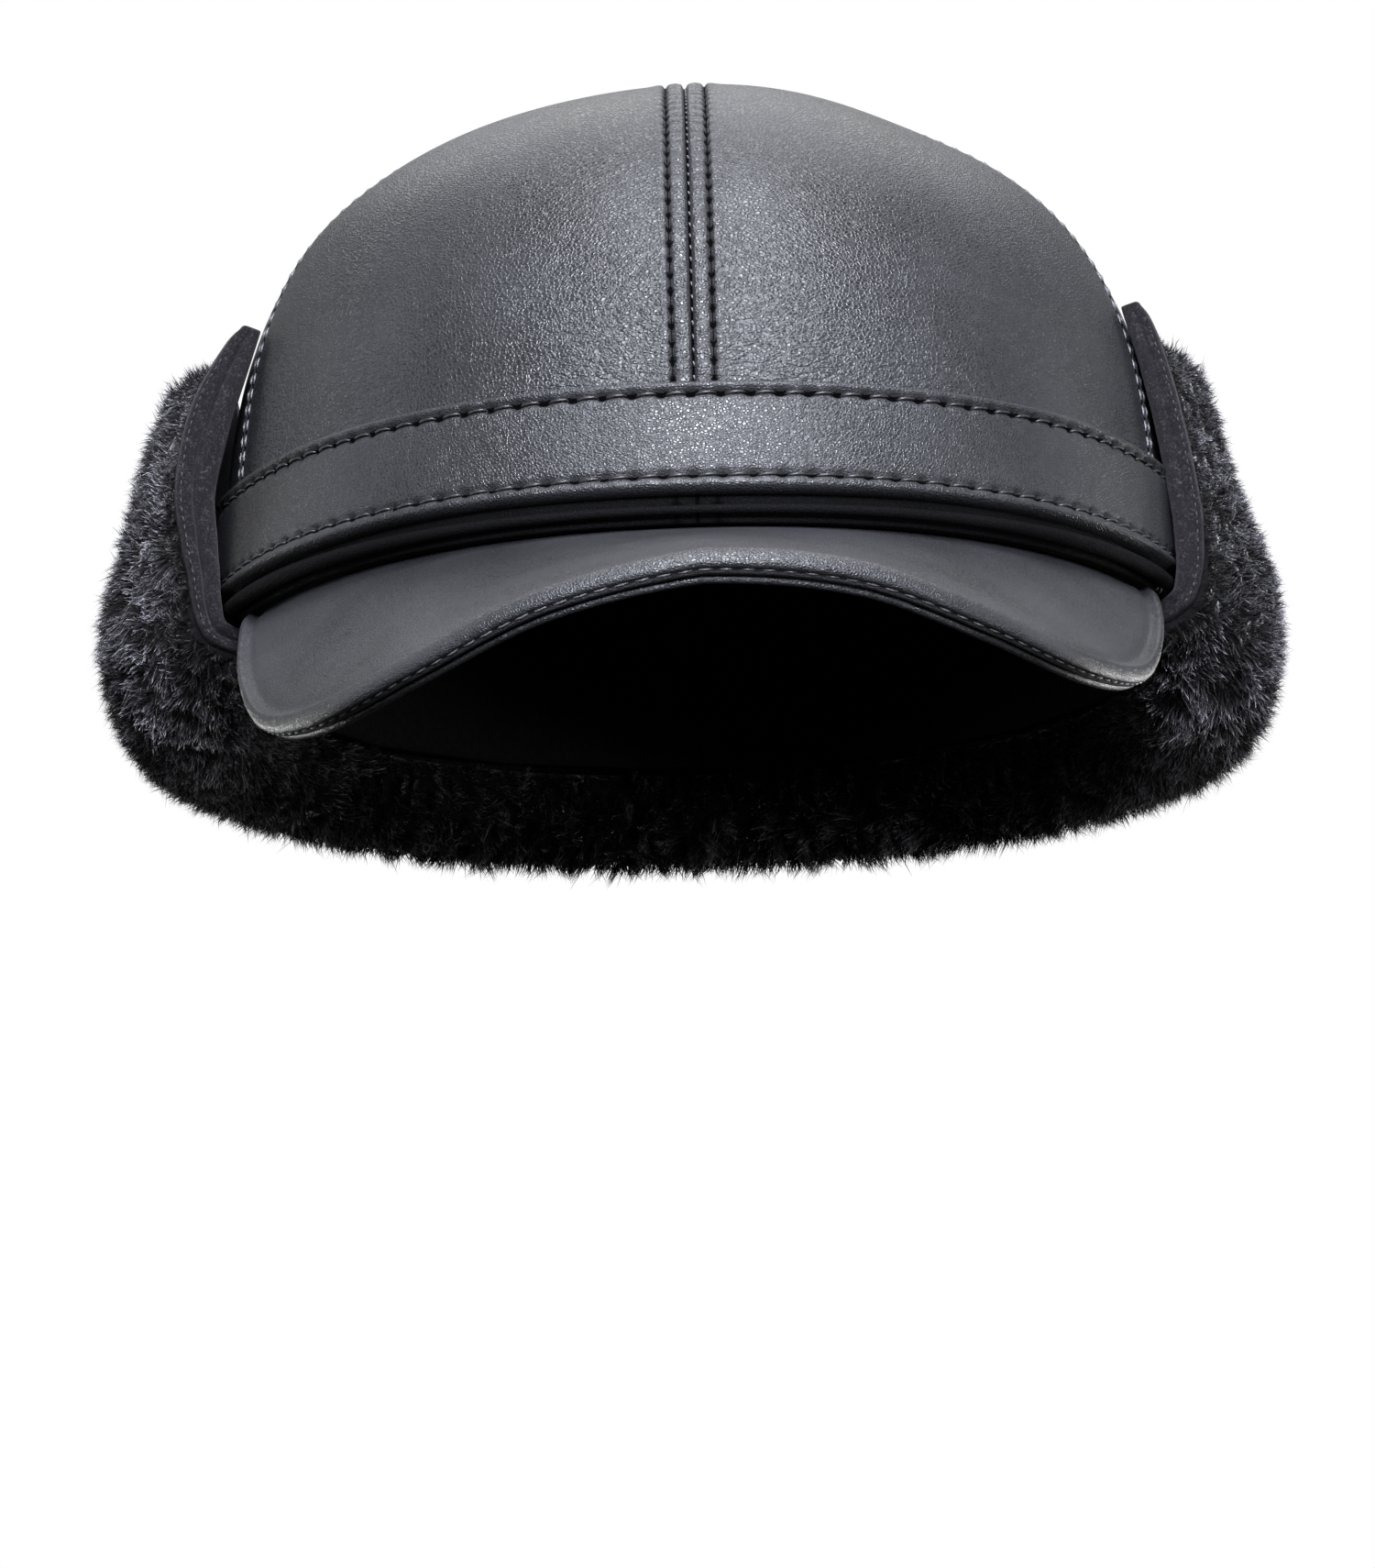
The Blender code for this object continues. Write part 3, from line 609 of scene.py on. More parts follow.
def crown_face(azimuth, climb):
    """Points of the crown's dressed leather face, and how deep in a seam each of them lies as painted shade."""
    plain = crown_point(azimuth, climb)
    centre_lift, centre_painted_shade = centre_seam(plain)
    hoop_lift, hoop_painted_shade = hoop_seam(plain)
    above_recess = smooth_step((plain[..., 2] - SEAM_FADE_HEIGHT) / SEAM_FADE_REACH)
    lift = (centre_lift + hoop_lift) * above_recess + leather_waves(plain)
    return plain + outward_at(plain) * lift[..., None], np.maximum(centre_painted_shade, hoop_painted_shade)


def grid_faces(index):
    """Quads between the rows and columns of a grid of point numbers."""
    return np.stack([index[:-1, :-1], index[:-1, 1:], index[1:, 1:], index[1:, :-1]], axis=-1).reshape(-1, 4)


def walled_grid(outer, inner):
    """Points and faces of a closed wall between an outer and an inner grid."""
    rows, columns = outer.shape[:2]
    near = np.arange(rows * columns).reshape(rows, columns)
    far = near + rows * columns
    border = np.concatenate([near[0, :-1], near[:-1, -1], near[-1, :0:-1], near[:0:-1, 0]])
    after = np.roll(border, -1)
    rim = np.stack([border, border + rows * columns, after + rows * columns, after], axis=-1)
    points = np.concatenate([outer.reshape(-1, 3), inner.reshape(-1, 3)])
    return points, [grid_faces(near), grid_faces(far)[:, ::-1], rim]


def loft(rings):
    """Points and faces of a closed solid through rings of points, with a cap at each end."""
    steps, count = rings.shape[:2]
    index = np.arange(steps * count).reshape(steps, count)
    wrapped = np.concatenate([index, index[:, :1]], axis=1)
    return rings.reshape(-1, 3), [grid_faces(wrapped), index[:1, ::-1], index[-1:]]


def coarse(grid):
    """Grid whose points are gathered onto every few rows and columns, for a face that needs less detail."""
    rows, columns = (
        np.minimum(np.round(np.arange(count) / LINING_STEP).astype(int) * LINING_STEP, count - 1)
        for count in grid.shape[:2]
    )
    return grid[np.ix_(rows, columns)]


def mesh_from(name, points, face_groups, painted_shade=None, finishes=None):
    """Mesh from points and groups of faces, with the painted shade of its points and the number of each group's
    finish.
    """
    mesh = bpy.data.meshes.new(name)
    corners = np.concatenate([faces.ravel() for faces in face_groups])
    sizes = np.concatenate([np.full(len(faces), faces.shape[1]) for faces in face_groups])
    starts = np.concatenate([[0], np.cumsum(sizes)[:-1]])
    mesh.vertices.add(len(points))
    mesh.vertices.foreach_set("co", np.ascontiguousarray(points, np.float32).ravel())
    mesh.loops.add(len(corners))
    mesh.loops.foreach_set("vertex_index", corners.astype(np.int32))
    mesh.polygons.add(len(sizes))
    mesh.polygons.foreach_set("loop_start", starts.astype(np.int32))
    mesh.update(calc_edges=True)
    if finishes is not None:
        numbers = np.concatenate([np.full(len(faces), number) for faces, number in zip(face_groups, finishes)])
        mesh.polygons.foreach_set("material_index", numbers.astype(np.int32))
    if painted_shade is not None:
        mesh.attributes.new("painted_shade", "FLOAT", "POINT").data.foreach_set("value", painted_shade.astype(np.float32))
    return mesh


def make_piece(name, mesh, material, replaced=()):
    """Object for a mesh that rides on the cap, with its finish and the solids that it stands for."""
    mesh.shade_smooth()
    mesh.materials.append(material)
    piece = bpy.data.objects.new(name, mesh)
    bpy.context.scene.collection.objects.link(piece)
    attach(piece, BODY)
    if replaced:
        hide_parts(*replaced)
    return piece


def closed_mesh(name, points, face_groups, painted_shade=None, finishes=None):
    """Mesh of a closed form, with the points that meet merged and its faces turned outward."""
    mesh = mesh_from(name, points, face_groups, painted_shade, finishes)
    bm = bmesh.new()
    bm.from_mesh(mesh)
    bmesh.ops.remove_doubles(bm, verts=bm.verts, dist=MERGE_DISTANCE)
    bmesh.ops.recalc_face_normals(bm, faces=bm.faces)
    bm.to_mesh(mesh)
    bm.free()
    return mesh


def even_climbs(top, azimuth):
    """Climbs from the rim to a top one, at even distances along the crown at an azimuth."""
    probe = top * spread(PROBE_STEPS)
    runs = run_lengths(crown_point(azimuth, probe))
    return np.interp(runs[-1] * spread(CROWN_ROWS), runs, probe)


def panel_azimuths(climbs, starts, ends):
    """Azimuths of a panel's columns on each row, close together beside both seams."""
    near = spread(SEAM_COLUMNS)
    middle = spread(FIELD_COLUMNS)[1:-1]
    rows = []
    for climb, start, end in zip(climbs, starts, ends):
        probe = start + (end - start) * spread(PROBE_STEPS)
        runs = run_lengths(crown_point(probe, climb))
        total = runs[-1]
        zone = min(SEAM_ZONE, SEAM_ZONE_SHARE * total)
        places = np.concatenate([
            near * zone,
            zone + middle * (total - 2 * zone),
            total - zone + near * zone,
        ])
        rows.append(np.interp(places, runs, probe))
    return np.array(rows)


def make_panel(name, side, climbs, starts, ends, leather, lining, low_shade_leather):
    azimuths = side * panel_azimuths(climbs, starts, ends)
    outer, painted_shade = crown_face(azimuths, climbs[:, None])
    inner = coarse(crown_point(azimuths, climbs[:, None], -CROWN_WALL))
    painted_shade = np.concatenate([painted_shade.ravel(), np.zeros(painted_shade.size)])
    points, (face, back, rim) = walled_grid(outer, inner)
    # Faces deep in a seam or low in the recess take a near black leather as painted shade
    takes_painted_shade = (painted_shade[face].mean(axis=1) > DARK_SHADE_LIMIT) | (points[face, 2].max(axis=1) < RECESS_HEIGHT)
    groups = [face[~takes_painted_shade], back, rim, face[takes_painted_shade]]
    mesh = closed_mesh(f"{name}_leather", points, groups, painted_shade, (0, 1, 2, 2))
    panel = make_piece(f"{name}_leather", mesh, leather, [name])
    mesh.materials.append(lining)
    mesh.materials.append(low_shade_leather)
    return panel


def make_crown(leather, lining, low_shade_leather):
    """Four leather panels, dark inside, with painted shade low down and in the deep seams, that meet along the
    centre seam and the hoop seam.
    """
    front_top = seams_meet(-LOOK_GAP / 2)
    front_climbs = even_climbs(front_top, math.radians(40))
    front_starts = centre_seam_azimuth(front_climbs)
    front_ends = np.maximum(front_starts, hoop_azimuth(front_climbs, -LOOK_GAP / 2))
    front_starts[-1] = front_ends[-1] = (front_starts[-1] + front_ends[-1]) / 2
    corner = seams_meet(LOOK_GAP / 2)
    rear_climbs = np.sort(np.append(even_climbs(np.pi / 2, math.radians(120)), corner))
    seam_edge = centre_seam_azimuth(rear_climbs)
    rear_starts = np.maximum(seam_edge, hoop_azimuth(rear_climbs, LOOK_GAP / 2))
    rear_ends = np.pi - seam_edge
    rear_starts[-1] = rear_ends[-1] = np.pi / 2
    front = (front_climbs, front_starts, front_ends)
    rear = (rear_climbs, rear_starts, rear_ends)
    panels = []
    for side, hand in ((-1, "left"), (1, "right")):
        panels.append(make_panel(f"crown_front_{hand}", side, *front, leather, lining, low_shade_leather))
        panels.append(make_panel(f"crown_rear_{hand}", side, *rear, leather, lining, low_shade_leather))
    return panels


def thread_template(thread, pitch):
    """Rings of one stitch: points along it, aside and up, with its ends dipped into their holes."""
    rings = []
    for place, swell in zip(THREAD_RINGS, THREAD_SWELL):
        dip = THREAD_DIP * thread.radius * (2 * place) ** 4
        for corner in range(THREAD_SIDES):
            angle = 2 * np.pi * corner / THREAD_SIDES
            rings.append((
                place * thread.length * pitch,
                thread.radius * swell * math.cos(angle),
                thread.lift - dip + thread.radius * swell * math.sin(angle),
            ))
    return np.array(rings)


def stitches(needle_holes, normals, thread, pitch):
    """Points and faces of a row of stitches, one between each hole and the next."""
    middles = (needle_holes[1:] + needle_holes[:-1]) / 2
    along = unit(needle_holes[1:] - needle_holes[:-1])
    up = unit(normals[1:] + normals[:-1])
    aside = unit(np.cross(up, along))
    up = np.cross(along, aside)
    along, aside = along + aside * thread.slant, aside - along * thread.slant
    template = thread_template(thread, pitch)
    axes = np.stack([along, aside, up], axis=1)
    points = middles[:, None, :] + np.einsum("pk,nkx->npx", template, axes)
    count = THREAD_SIDES * len(THREAD_RINGS)
    index = np.arange(count).reshape(len(THREAD_RINGS), THREAD_SIDES)
    wrapped = np.concatenate([index, index[:, :1]], axis=1)
    shift = (np.arange(len(middles)) * count)[:, None, None]
    sides = (grid_faces(wrapped)[None] + shift).reshape(-1, 4)
    caps = (np.stack([index[0, ::-1], index[-1]])[None] + shift).reshape(-1, THREAD_SIDES)
    return points.reshape(-1, 3), sides, caps


def make_stitches(name, rows, material):
    """One piece for several rows of stitches."""
    points, sides, caps = [], [], []
    count = 0
    for row_points, row_sides, row_caps in rows:
        points.append(row_points)
        sides.append(row_sides + count)
        caps.append(row_caps + count)
        count += len(row_points)
    mesh = mesh_from(name, np.concatenate(points), [np.concatenate(sides), np.concatenate(caps)])
    return make_piece(name, mesh, material)


def leather_tree(panels):
    """Search tree of the crown's dressed panels."""
    corners = []
    polygons = []
    for panel in panels:
        shift = len(corners)
        corners.extend(vertex.co for vertex in panel.data.vertices)
        polygons.extend([shift + corner for corner in polygon.vertices] for polygon in panel.data.polygons)
    return BVHTree.FromPolygons(corners, polygons)


def pressed_on(tree, starts, targets):
    """Places where straight lines from outside first meet the crown, and the way out there."""
    found = []
    for start, target in zip(starts, targets):
        place = tree.ray_cast(Vector(start), Vector(target - start).normalized())[0]
        found.append(place if place is not None else Vector(start))
    places = np.array(found)
    return places, outward_at(places)


def centre_stitch_row(tree, out, thread, pitch):
    far = 2 * CROWN_FRONT_LENGTH
    runs = np.arange(0, math.floor(CENTRE_RUNS[-1] / pitch) + 1) * pitch
    angles = np.interp(runs, CENTRE_RUNS, CENTRE_ANGLES)
    starts = np.stack([np.full_like(angles, out), -far * np.cos(angles), far * np.sin(angles)], axis=-1)
    targets = starts * np.array([1.0, 0.0, 0.0])
    places, normals = pressed_on(tree, starts, targets)
    is_shown = places[:, 2] > BAND_LIFT + BAND_HEIGHT / 2
    return stitches(places[is_shown], normals[is_shown], thread, pitch)


def hoop_stitch_row(tree, shift):
    far = 2 * CROWN_FRONT_LENGTH
    runs = np.arange(0, math.floor(HOOP_RUNS[-1] / HOOP_PITCH) + 1) * HOOP_PITCH
    angles = np.interp(runs, HOOP_RUNS, HOOP_ANGLES)
    ys = np.interp(runs, HOOP_RUNS, HOOP_YS) + shift
    starts = np.stack([far * np.cos(angles), ys, far * np.sin(angles)], axis=-1)
    targets = starts * np.array([0.0, 1.0, 0.0])
    return stitches(*pressed_on(tree, starts, targets), HOOP_THREAD, HOOP_PITCH)


def make_crown_stitches(panels, thread, glint_painted_thread):
    """Rows beside the centre seam and tiny stitches in it, and the two rows of the hoop seam; the tiny stitches and
    the hoop rows are painted light grey as a painted highlight.
    """
    tree = leather_tree(panels)
    rows = [centre_stitch_row(tree, side * CENTRE_ROW_OUT, CENTRE_THREAD, CENTRE_PITCH) for side in (-1, 1)]
    make_stitches("centre_seam_stitches", rows, thread)
    glints = [centre_stitch_row(tree, 2 * LOOK_GAP, SEAM_THREAD, SEAM_THREAD_PITCH)]
    glints += [hoop_stitch_row(tree, side * HOOP_ROW_OUT) for side in (-1, 1)]
    make_stitches("hoop_seam_stitches", glints, glint_painted_thread)


def underfur_lumps(places):
    """Uneven height of the underfur over the flat pile, from 0 to 1."""
    waves = np.zeros(places.shape[:-1])
    for lump in UNDERFUR_LUMPS:
        waves = waves + np.sin(2 * np.pi * (places @ np.array([lump.x, lump.y, lump.z])) + lump.phase)
    return np.clip(0.5 + 0.5 * waves / len(UNDERFUR_LUMPS) * 1.6, 0, 1)


def band_line():
    """Azimuths along the front band and the distance run there."""
    azimuths = BAND_END_AZIMUTH * (2 * spread(PROBE_STEPS) - 1)
    middle = BAND_LIFT + BAND_HEIGHT / 2
    return azimuths, run_lengths(crown_point(azimuths, climb_at_height(azimuths, middle)))


BAND_AZIMUTHS, BAND_RUNS = band_line()


def band_out(up, run):
    """How far the band's face stands off the crown, at a share of its height and a distance along it."""
    from_edge = np.minimum(up, 1 - up)
    rounding = np.sqrt(1 - (1 - np.clip(from_edge / BAND_EDGE_SHARE, 0, 1)) ** 2)
    pad = BAND_PAD_SHARE + (1 - BAND_PAD_SHARE) * bump(from_edge - BAND_EDGE_SHARE, BAND_ROLL_REACH)
    pricks = holes(run, BAND_PITCH)
    dip = 0
    for row in (BAND_LOW_ROW, BAND_HIGH_ROW):
        dip = dip + BAND_GROOVE_DEPTH * bump(up - row, BAND_GROOVE_REACH)
        dip = dip + BAND_HOLE_DEPTH * pricks * bump(up - row, BAND_HOLE_REACH)
    return BAND_CLEARANCE + BAND_THICKNESS * rounding * pad - dip * rounding


def band_painted_shade(up, run):
    """How deep in a stitched row each place of the band's face lies, from 0 to 1, as painted shade."""
    pricks = holes(run, BAND_PITCH)
    painted_shade = 0
    for row in (BAND_LOW_ROW, BAND_HIGH_ROW):
        painted_shade = np.maximum(painted_shade, 0.75 * bump(up - row, BAND_GROOVE_REACH))
        painted_shade = np.maximum(painted_shade, pricks * bump(up - row, BAND_HOLE_REACH))
    return painted_shade


def band_point(azimuth, up, out):
    return crown_point(azimuth, climb_at_height(azimuth, BAND_LIFT + BAND_HEIGHT * up), out)


def make_band(material, dark_shade_leather):
    """Padded band with rolled edges between its two stitched rows and its rims."""
    runs = BAND_RUNS[-1] * spread(BAND_COLUMNS)
    azimuths = np.interp(runs, BAND_RUNS, BAND_AZIMUTHS)[:, None]
    face_up = (1 - np.cos(np.pi * spread(BAND_FACE_STEPS))) / 2
    back_up = 1 - spread(BAND_BACK_STEPS)
    face = band_point(azimuths, face_up[None], band_out(face_up[None], runs[:, None]))
    back = band_point(azimuths, back_up[None], BAND_CLEARANCE / 2)
    rings = np.concatenate([face, back], axis=1)
    face_painted_shade = band_painted_shade(face_up[None], runs[:, None])
    painted_shade = np.concatenate([face_painted_shade, np.zeros(back.shape[:2])], axis=1).ravel()
    points, (sides, first_cap, last_cap) = loft(rings)
    # Faces deep in the stitched rows take a near black leather as painted shade
    takes_painted_shade = painted_shade[sides].mean(axis=1) > DARK_SHADE_LIMIT
    groups = [sides[~takes_painted_shade], first_cap, last_cap, sides[takes_painted_shade]]
    mesh = closed_mesh("front_band_leather", points, groups, painted_shade, (0, 0, 0, 1))
    band = make_piece("front_band_leather", mesh, material, ["front_band"])
    mesh.materials.append(dark_shade_leather)
    return band


def make_band_stitches(material):
    rows = []
    runs = np.arange(1, math.floor(BAND_RUNS[-1] / BAND_PITCH)) * BAND_PITCH
    azimuths = np.interp(runs, BAND_RUNS, BAND_AZIMUTHS)
    for row in (BAND_LOW_ROW, BAND_HIGH_ROW):
        bed = band_out(row, BAND_PITCH / 2)
        places = band_point(azimuths, row, bed)
        rows.append(stitches(places, outward_at(places), BAND_THREAD, BAND_PITCH))
    return make_stitches("front_band_stitches", rows, material)


def make_roll(material):
    """Thin roll of leather in the recess between the band and the peak."""
    turns = 2 * spread(ROLL_COLUMNS) - 1
    azimuths = ROLL_END_AZIMUTH * turns
    radii = ROLL_RADIUS * (ROLL_MIDDLE_SHARE + (1 - ROLL_MIDDLE_SHARE) * smooth_step(np.abs(turns)))
    middles = crown_point(azimuths, climb_at_height(azimuths, ROLL_LIFT), radii + ROLL_CLEARANCE)
    along = unit(np.gradient(middles, axis=0))
    up = np.array([0.0, 0.0, 1.0])
    out = unit(np.cross(along, up))
    up = np.cross(out, along)
    angles = 2 * np.pi * np.arange(ROLL_SIDES) / ROLL_SIDES
    spokes = np.cos(angles)[:, None] * out[:, None] + np.sin(angles)[:, None] * up[:, None]
    rings = middles[:, None] + radii[:, None, None] * spokes
    mesh = closed_mesh("visor_seam_roll_leather", *loft(rings))
    return make_piece("visor_seam_roll_leather", mesh, material, ["visor_seam_roll"])


def peak_face(side, reach):
    """Points of the peak's top face; side runs from -1 to 1 along it and reach from its root to its edge."""
    side, reach = np.broadcast_arrays(np.asarray(side, float), np.asarray(reach, float))
    inner = plan_outline(PEAK_ROOT_AZIMUTH * side, np.full(side.shape, -CROWN_WALL))
    root_y = plan_rim(np.array(PEAK_ROOT_AZIMUTH))[1]
    across = np.sin(np.pi / 2 * side)
    ahead = np.cos(np.pi / 2 * side)
    power = PEAK_CORNER_POWER
    stretch = (np.abs(across) ** power + np.abs(ahead) ** power) ** (-1 / power)
    front = CROWN_FRONT_LENGTH + PEAK_DEPTH
    outer_x = PEAK_HALF_CHORD * across * stretch
    outer_y = root_y - (front + root_y) * ahead * stretch
    drop = PEAK_DROP * table_value(PEAK_ROWS, "turn", "drop", np.abs(side))
    drop = drop - math.tan(PEAK_TWIST) * outer_x * ahead
    x = inner[..., 0] + (outer_x - inner[..., 0]) * reach
    y = inner[..., 1] + (outer_y - inner[..., 1]) * reach
    return np.stack([x, y, -PEAK_CLEARANCE - drop * reach], axis=-1)


def peak_normal(side, reach):
    along = peak_face(side + SLOPE_STEP, reach) - peak_face(side - SLOPE_STEP, reach)
    forward = peak_face(side, reach + SLOPE_STEP) - peak_face(side, reach - SLOPE_STEP)
    normal = unit(np.cross(along, forward))
    return normal * np.where(normal[..., 2:] < 0, -1.0, 1.0)


def peak_length(side):
    return np.linalg.norm(peak_face(side, 1.0) - peak_face(side, 0.0), axis=-1)


def peak_point(side, distance, depth, edge_inset):
    """Points of a peak layer at distances from its root and depths under the top face."""
    side, distance = np.broadcast_arrays(side, distance)
    reach = distance * np.maximum(0.0, 1 - edge_inset / peak_length(side))
    return peak_face(side, reach) - peak_normal(side, reach) * np.asarray(depth, float)[..., None]


def peak_edge_line(margin):
    """Places along a peak layer's edge and the distance run there."""
    sides = (1 - margin) * (2 * spread(PROBE_STEPS) - 1)
    return sides, run_lengths(peak_face(sides, 1.0))


def peak_dress(sides, runs, distances, arcs):
    """Lift of the peak's top layer: bead and trough behind its edge, stitched groove, wrinkles; and the painted
    shade in its groove.
    """
    inward = (1 - distances) * peak_length(sides)
    on_top = np.cos(arcs / 2) ** 2
    bead = PEAK_BEAD_LIFT * bump(inward - PEAK_BEAD_OUT, PEAK_BEAD_REACH)
    trough = PEAK_TROUGH_DEPTH * bump(inward - PEAK_TROUGH_OUT, PEAK_TROUGH_REACH)
    corner = 0.25 + 0.75 * smooth_step((np.abs(sides) - 0.55) / 0.3)
    ripple = np.sin(2 * np.pi * runs / PEAK_WRINKLE_PITCH + 9 * np.sin(runs * 130))
    wrinkles = PEAK_WRINKLE_DEPTH * corner * ripple * bump(inward, 2 * PEAK_BEAD_OUT)
    groove = bump(arcs - PEAK_ROW_TURN, PEAK_GROOVE_REACH)
    lift = (bead - trough + wrinkles) * on_top - PEAK_GROOVE_DEPTH * groove
    return lift, groove * (0.7 + 0.3 * holes(runs, PEAK_PITCH))


def make_peak_layer(name, top_depth, thickness, edge_inset, margin, columns, is_dressed, material):
    """Layer of the peak with a round edge; the dressed one has a bead, wrinkles and a stitched groove."""
    line_sides, line_runs = peak_edge_line(margin)
    runs = line_runs[-1] * spread(columns)[:, None]
    sides = np.interp(runs, line_runs, line_sides)
    turn = thickness / 2 / peak_length(sides)
    arc = np.pi * spread(PEAK_EDGE_STEPS)[None, 1:-1]
    flat = np.sin(np.pi / 2 * spread(PEAK_FACE_STEPS))[None]
    back = 1 - spread(PEAK_BACK_STEPS)[None]
    arcs = np.concatenate([0 * flat, arc, np.pi + 0 * back], axis=1) * np.ones_like(runs)
    distances = np.concatenate([
        (1 - turn) * flat,
        1 - turn * (1 - np.sin(arc)),
        (1 - turn) * back,
    ], axis=1)
    points = peak_point(sides, distances, top_depth + thickness * (1 - np.cos(arcs)) / 2, edge_inset)
    painted_shade = np.zeros_like(arcs)
    if is_dressed:
        lift, painted_shade = peak_dress(sides, runs, distances, arcs)
        way = peak_normal(sides, 1.0) * np.cos(arcs)[..., None] + peak_forward(sides) * np.sin(arcs)[..., None]
        waves = leather_waves(points) * np.cos(arcs / 2) ** 2 * smooth_step(distances * 4)
        points = points + way * (lift + waves)[..., None]
    mesh = closed_mesh(f"{name}_leather", *loft(points), painted_shade.ravel())
    return make_piece(f"{name}_leather", mesh, material, [name])


def peak_forward(sides):
    return unit(peak_face(sides, 1.0) - peak_face(sides, 0.9))


def make_peak_stitches(material):
    """Row of thread round the peak, low on the edge of its top layer."""
    line_sides, line_runs = peak_edge_line(PEAK_UNDER_END_MARGIN)
    runs = np.arange(1, math.floor(line_runs[-1] / PEAK_PITCH)) * PEAK_PITCH
    sides = np.interp(runs, line_runs, line_sides)
    turn = PEAK_TOP_THICKNESS / 2 / peak_length(sides)
    depth = np.full_like(sides, PEAK_TOP_THICKNESS * (1 - math.cos(PEAK_ROW_TURN)) / 2)
    places = peak_point(sides, 1 - turn * (1 - math.sin(PEAK_ROW_TURN)), depth, 0.0)
    normals = unit(
        peak_forward(sides) * math.sin(PEAK_ROW_TURN) + peak_normal(sides, 1.0) * math.cos(PEAK_ROW_TURN)
    )
    places = places - normals * PEAK_GROOVE_DEPTH
    rows = [stitches(places, normals, PEAK_THREAD, PEAK_PITCH)]
    return make_stitches("visor_stitches", rows, material)


def flap_azimuth(around):
    """Azimuth at a share of the way round, from the left front edge by the back to the right one."""
    return -FLAP_FRONT_AZIMUTH - (2 * np.pi - 2 * FLAP_FRONT_AZIMUTH) * around


def flap_line(around):
    """Cloth line of the flap in section at each share of the way round: distances out, and heights."""
    around = np.atleast_1d(around)
    along = 1.0 - np.abs(2 * around - 1)
    right_share = smooth_step(along / FLAP_TUCK_BLEND) * smooth_step(2 * around - 1)
    tuck = FLAP_RIGHT_TUCK * right_share
    stand, drop, height_share, top = (
        table_value(FLAP_ROWS, "along", column, along)
        for column in ("stand", "drop", "height", "top")
    )
    stand = BAND_CLEARANCE + BAND_THICKNESS + FLAP_STAND * stand - tuck
    rise = FLAP_HEIGHT * height_share - FLAP_RIGHT_SINK * right_share
    top_out = crown_out(flap_azimuth(around), rise) + FLAP_TOP_STAND * top - tuck * FLAP_TUCK_TOP_SHARE
    last = len(FLAP_KNOTS) - 1
    positions = last * spread(last * FLAP_KNOT_SAMPLES)
    knot = FlapKnot(*(
        smooth_between([getattr(row, column) for row in FLAP_KNOTS], positions)[None]
        for column in FlapKnot._fields
    ))
    out = -CROWN_WALL / 2 + stand[:, None] * knot.out
    out = out + (top_out[:, None] - out) * knot.back
    start = -FLAP_RIM_CLEARANCE - FLAP_WALL / 2
    height = start - FLAP_DROP * drop[:, None] * knot.down + rise[:, None] * knot.up
    near_edge = (1 - smooth_step(along / EDGE_BLEND))[:, None]
    hand = np.where(around < 0.5, "left", "right")
    rank = spread(last * FLAP_KNOT_SAMPLES)
    for side in ("left", "right"):
        on_side = (hand == side)[:, None] * near_edge / 1000
        out = out + on_side * table_value(EDGE_ROWS, "rank", f"{side}_out", rank)[None]
        height = height + on_side * table_value(EDGE_ROWS, "rank", f"{side}_up", rank)[None]
    return out, height


def line_normals(out, height):
    """Unit normals of lines in section that point to the fur's side."""
    run_out = np.gradient(out, axis=1)
    run_up = np.gradient(height, axis=1)
    length = np.hypot(run_out, run_up)
    return run_up / length, -run_out / length


def flap_surface(around, offset):
    """Grid of points beside the flap's cloth line, moved by an offset to the fur's side."""
    out, height = flap_line(around)
    normal_out, normal_up = line_normals(out, height)
    azimuth = flap_azimuth(np.atleast_1d(around))[:, None]
    azimuth = np.broadcast_to(azimuth, out.shape)
    points = plan_outline(azimuth, out + normal_out * offset)
    points[..., 2] = height + normal_up * offset
    return points


def make_flap_cloth(material):
    around = spread(FLAP_COLUMNS)
    middle = flap_surface(around, 0.0)
    outer = flap_surface(around, FLAP_WALL / 2)
    inner = flap_surface(around, -FLAP_WALL / 2)
    mesh = closed_mesh("ear_flap_woollen", *walled_grid(outer, inner))
    cloth = make_piece("ear_flap_woollen", mesh, material, ["ear_flap_cloth"])
    return cloth


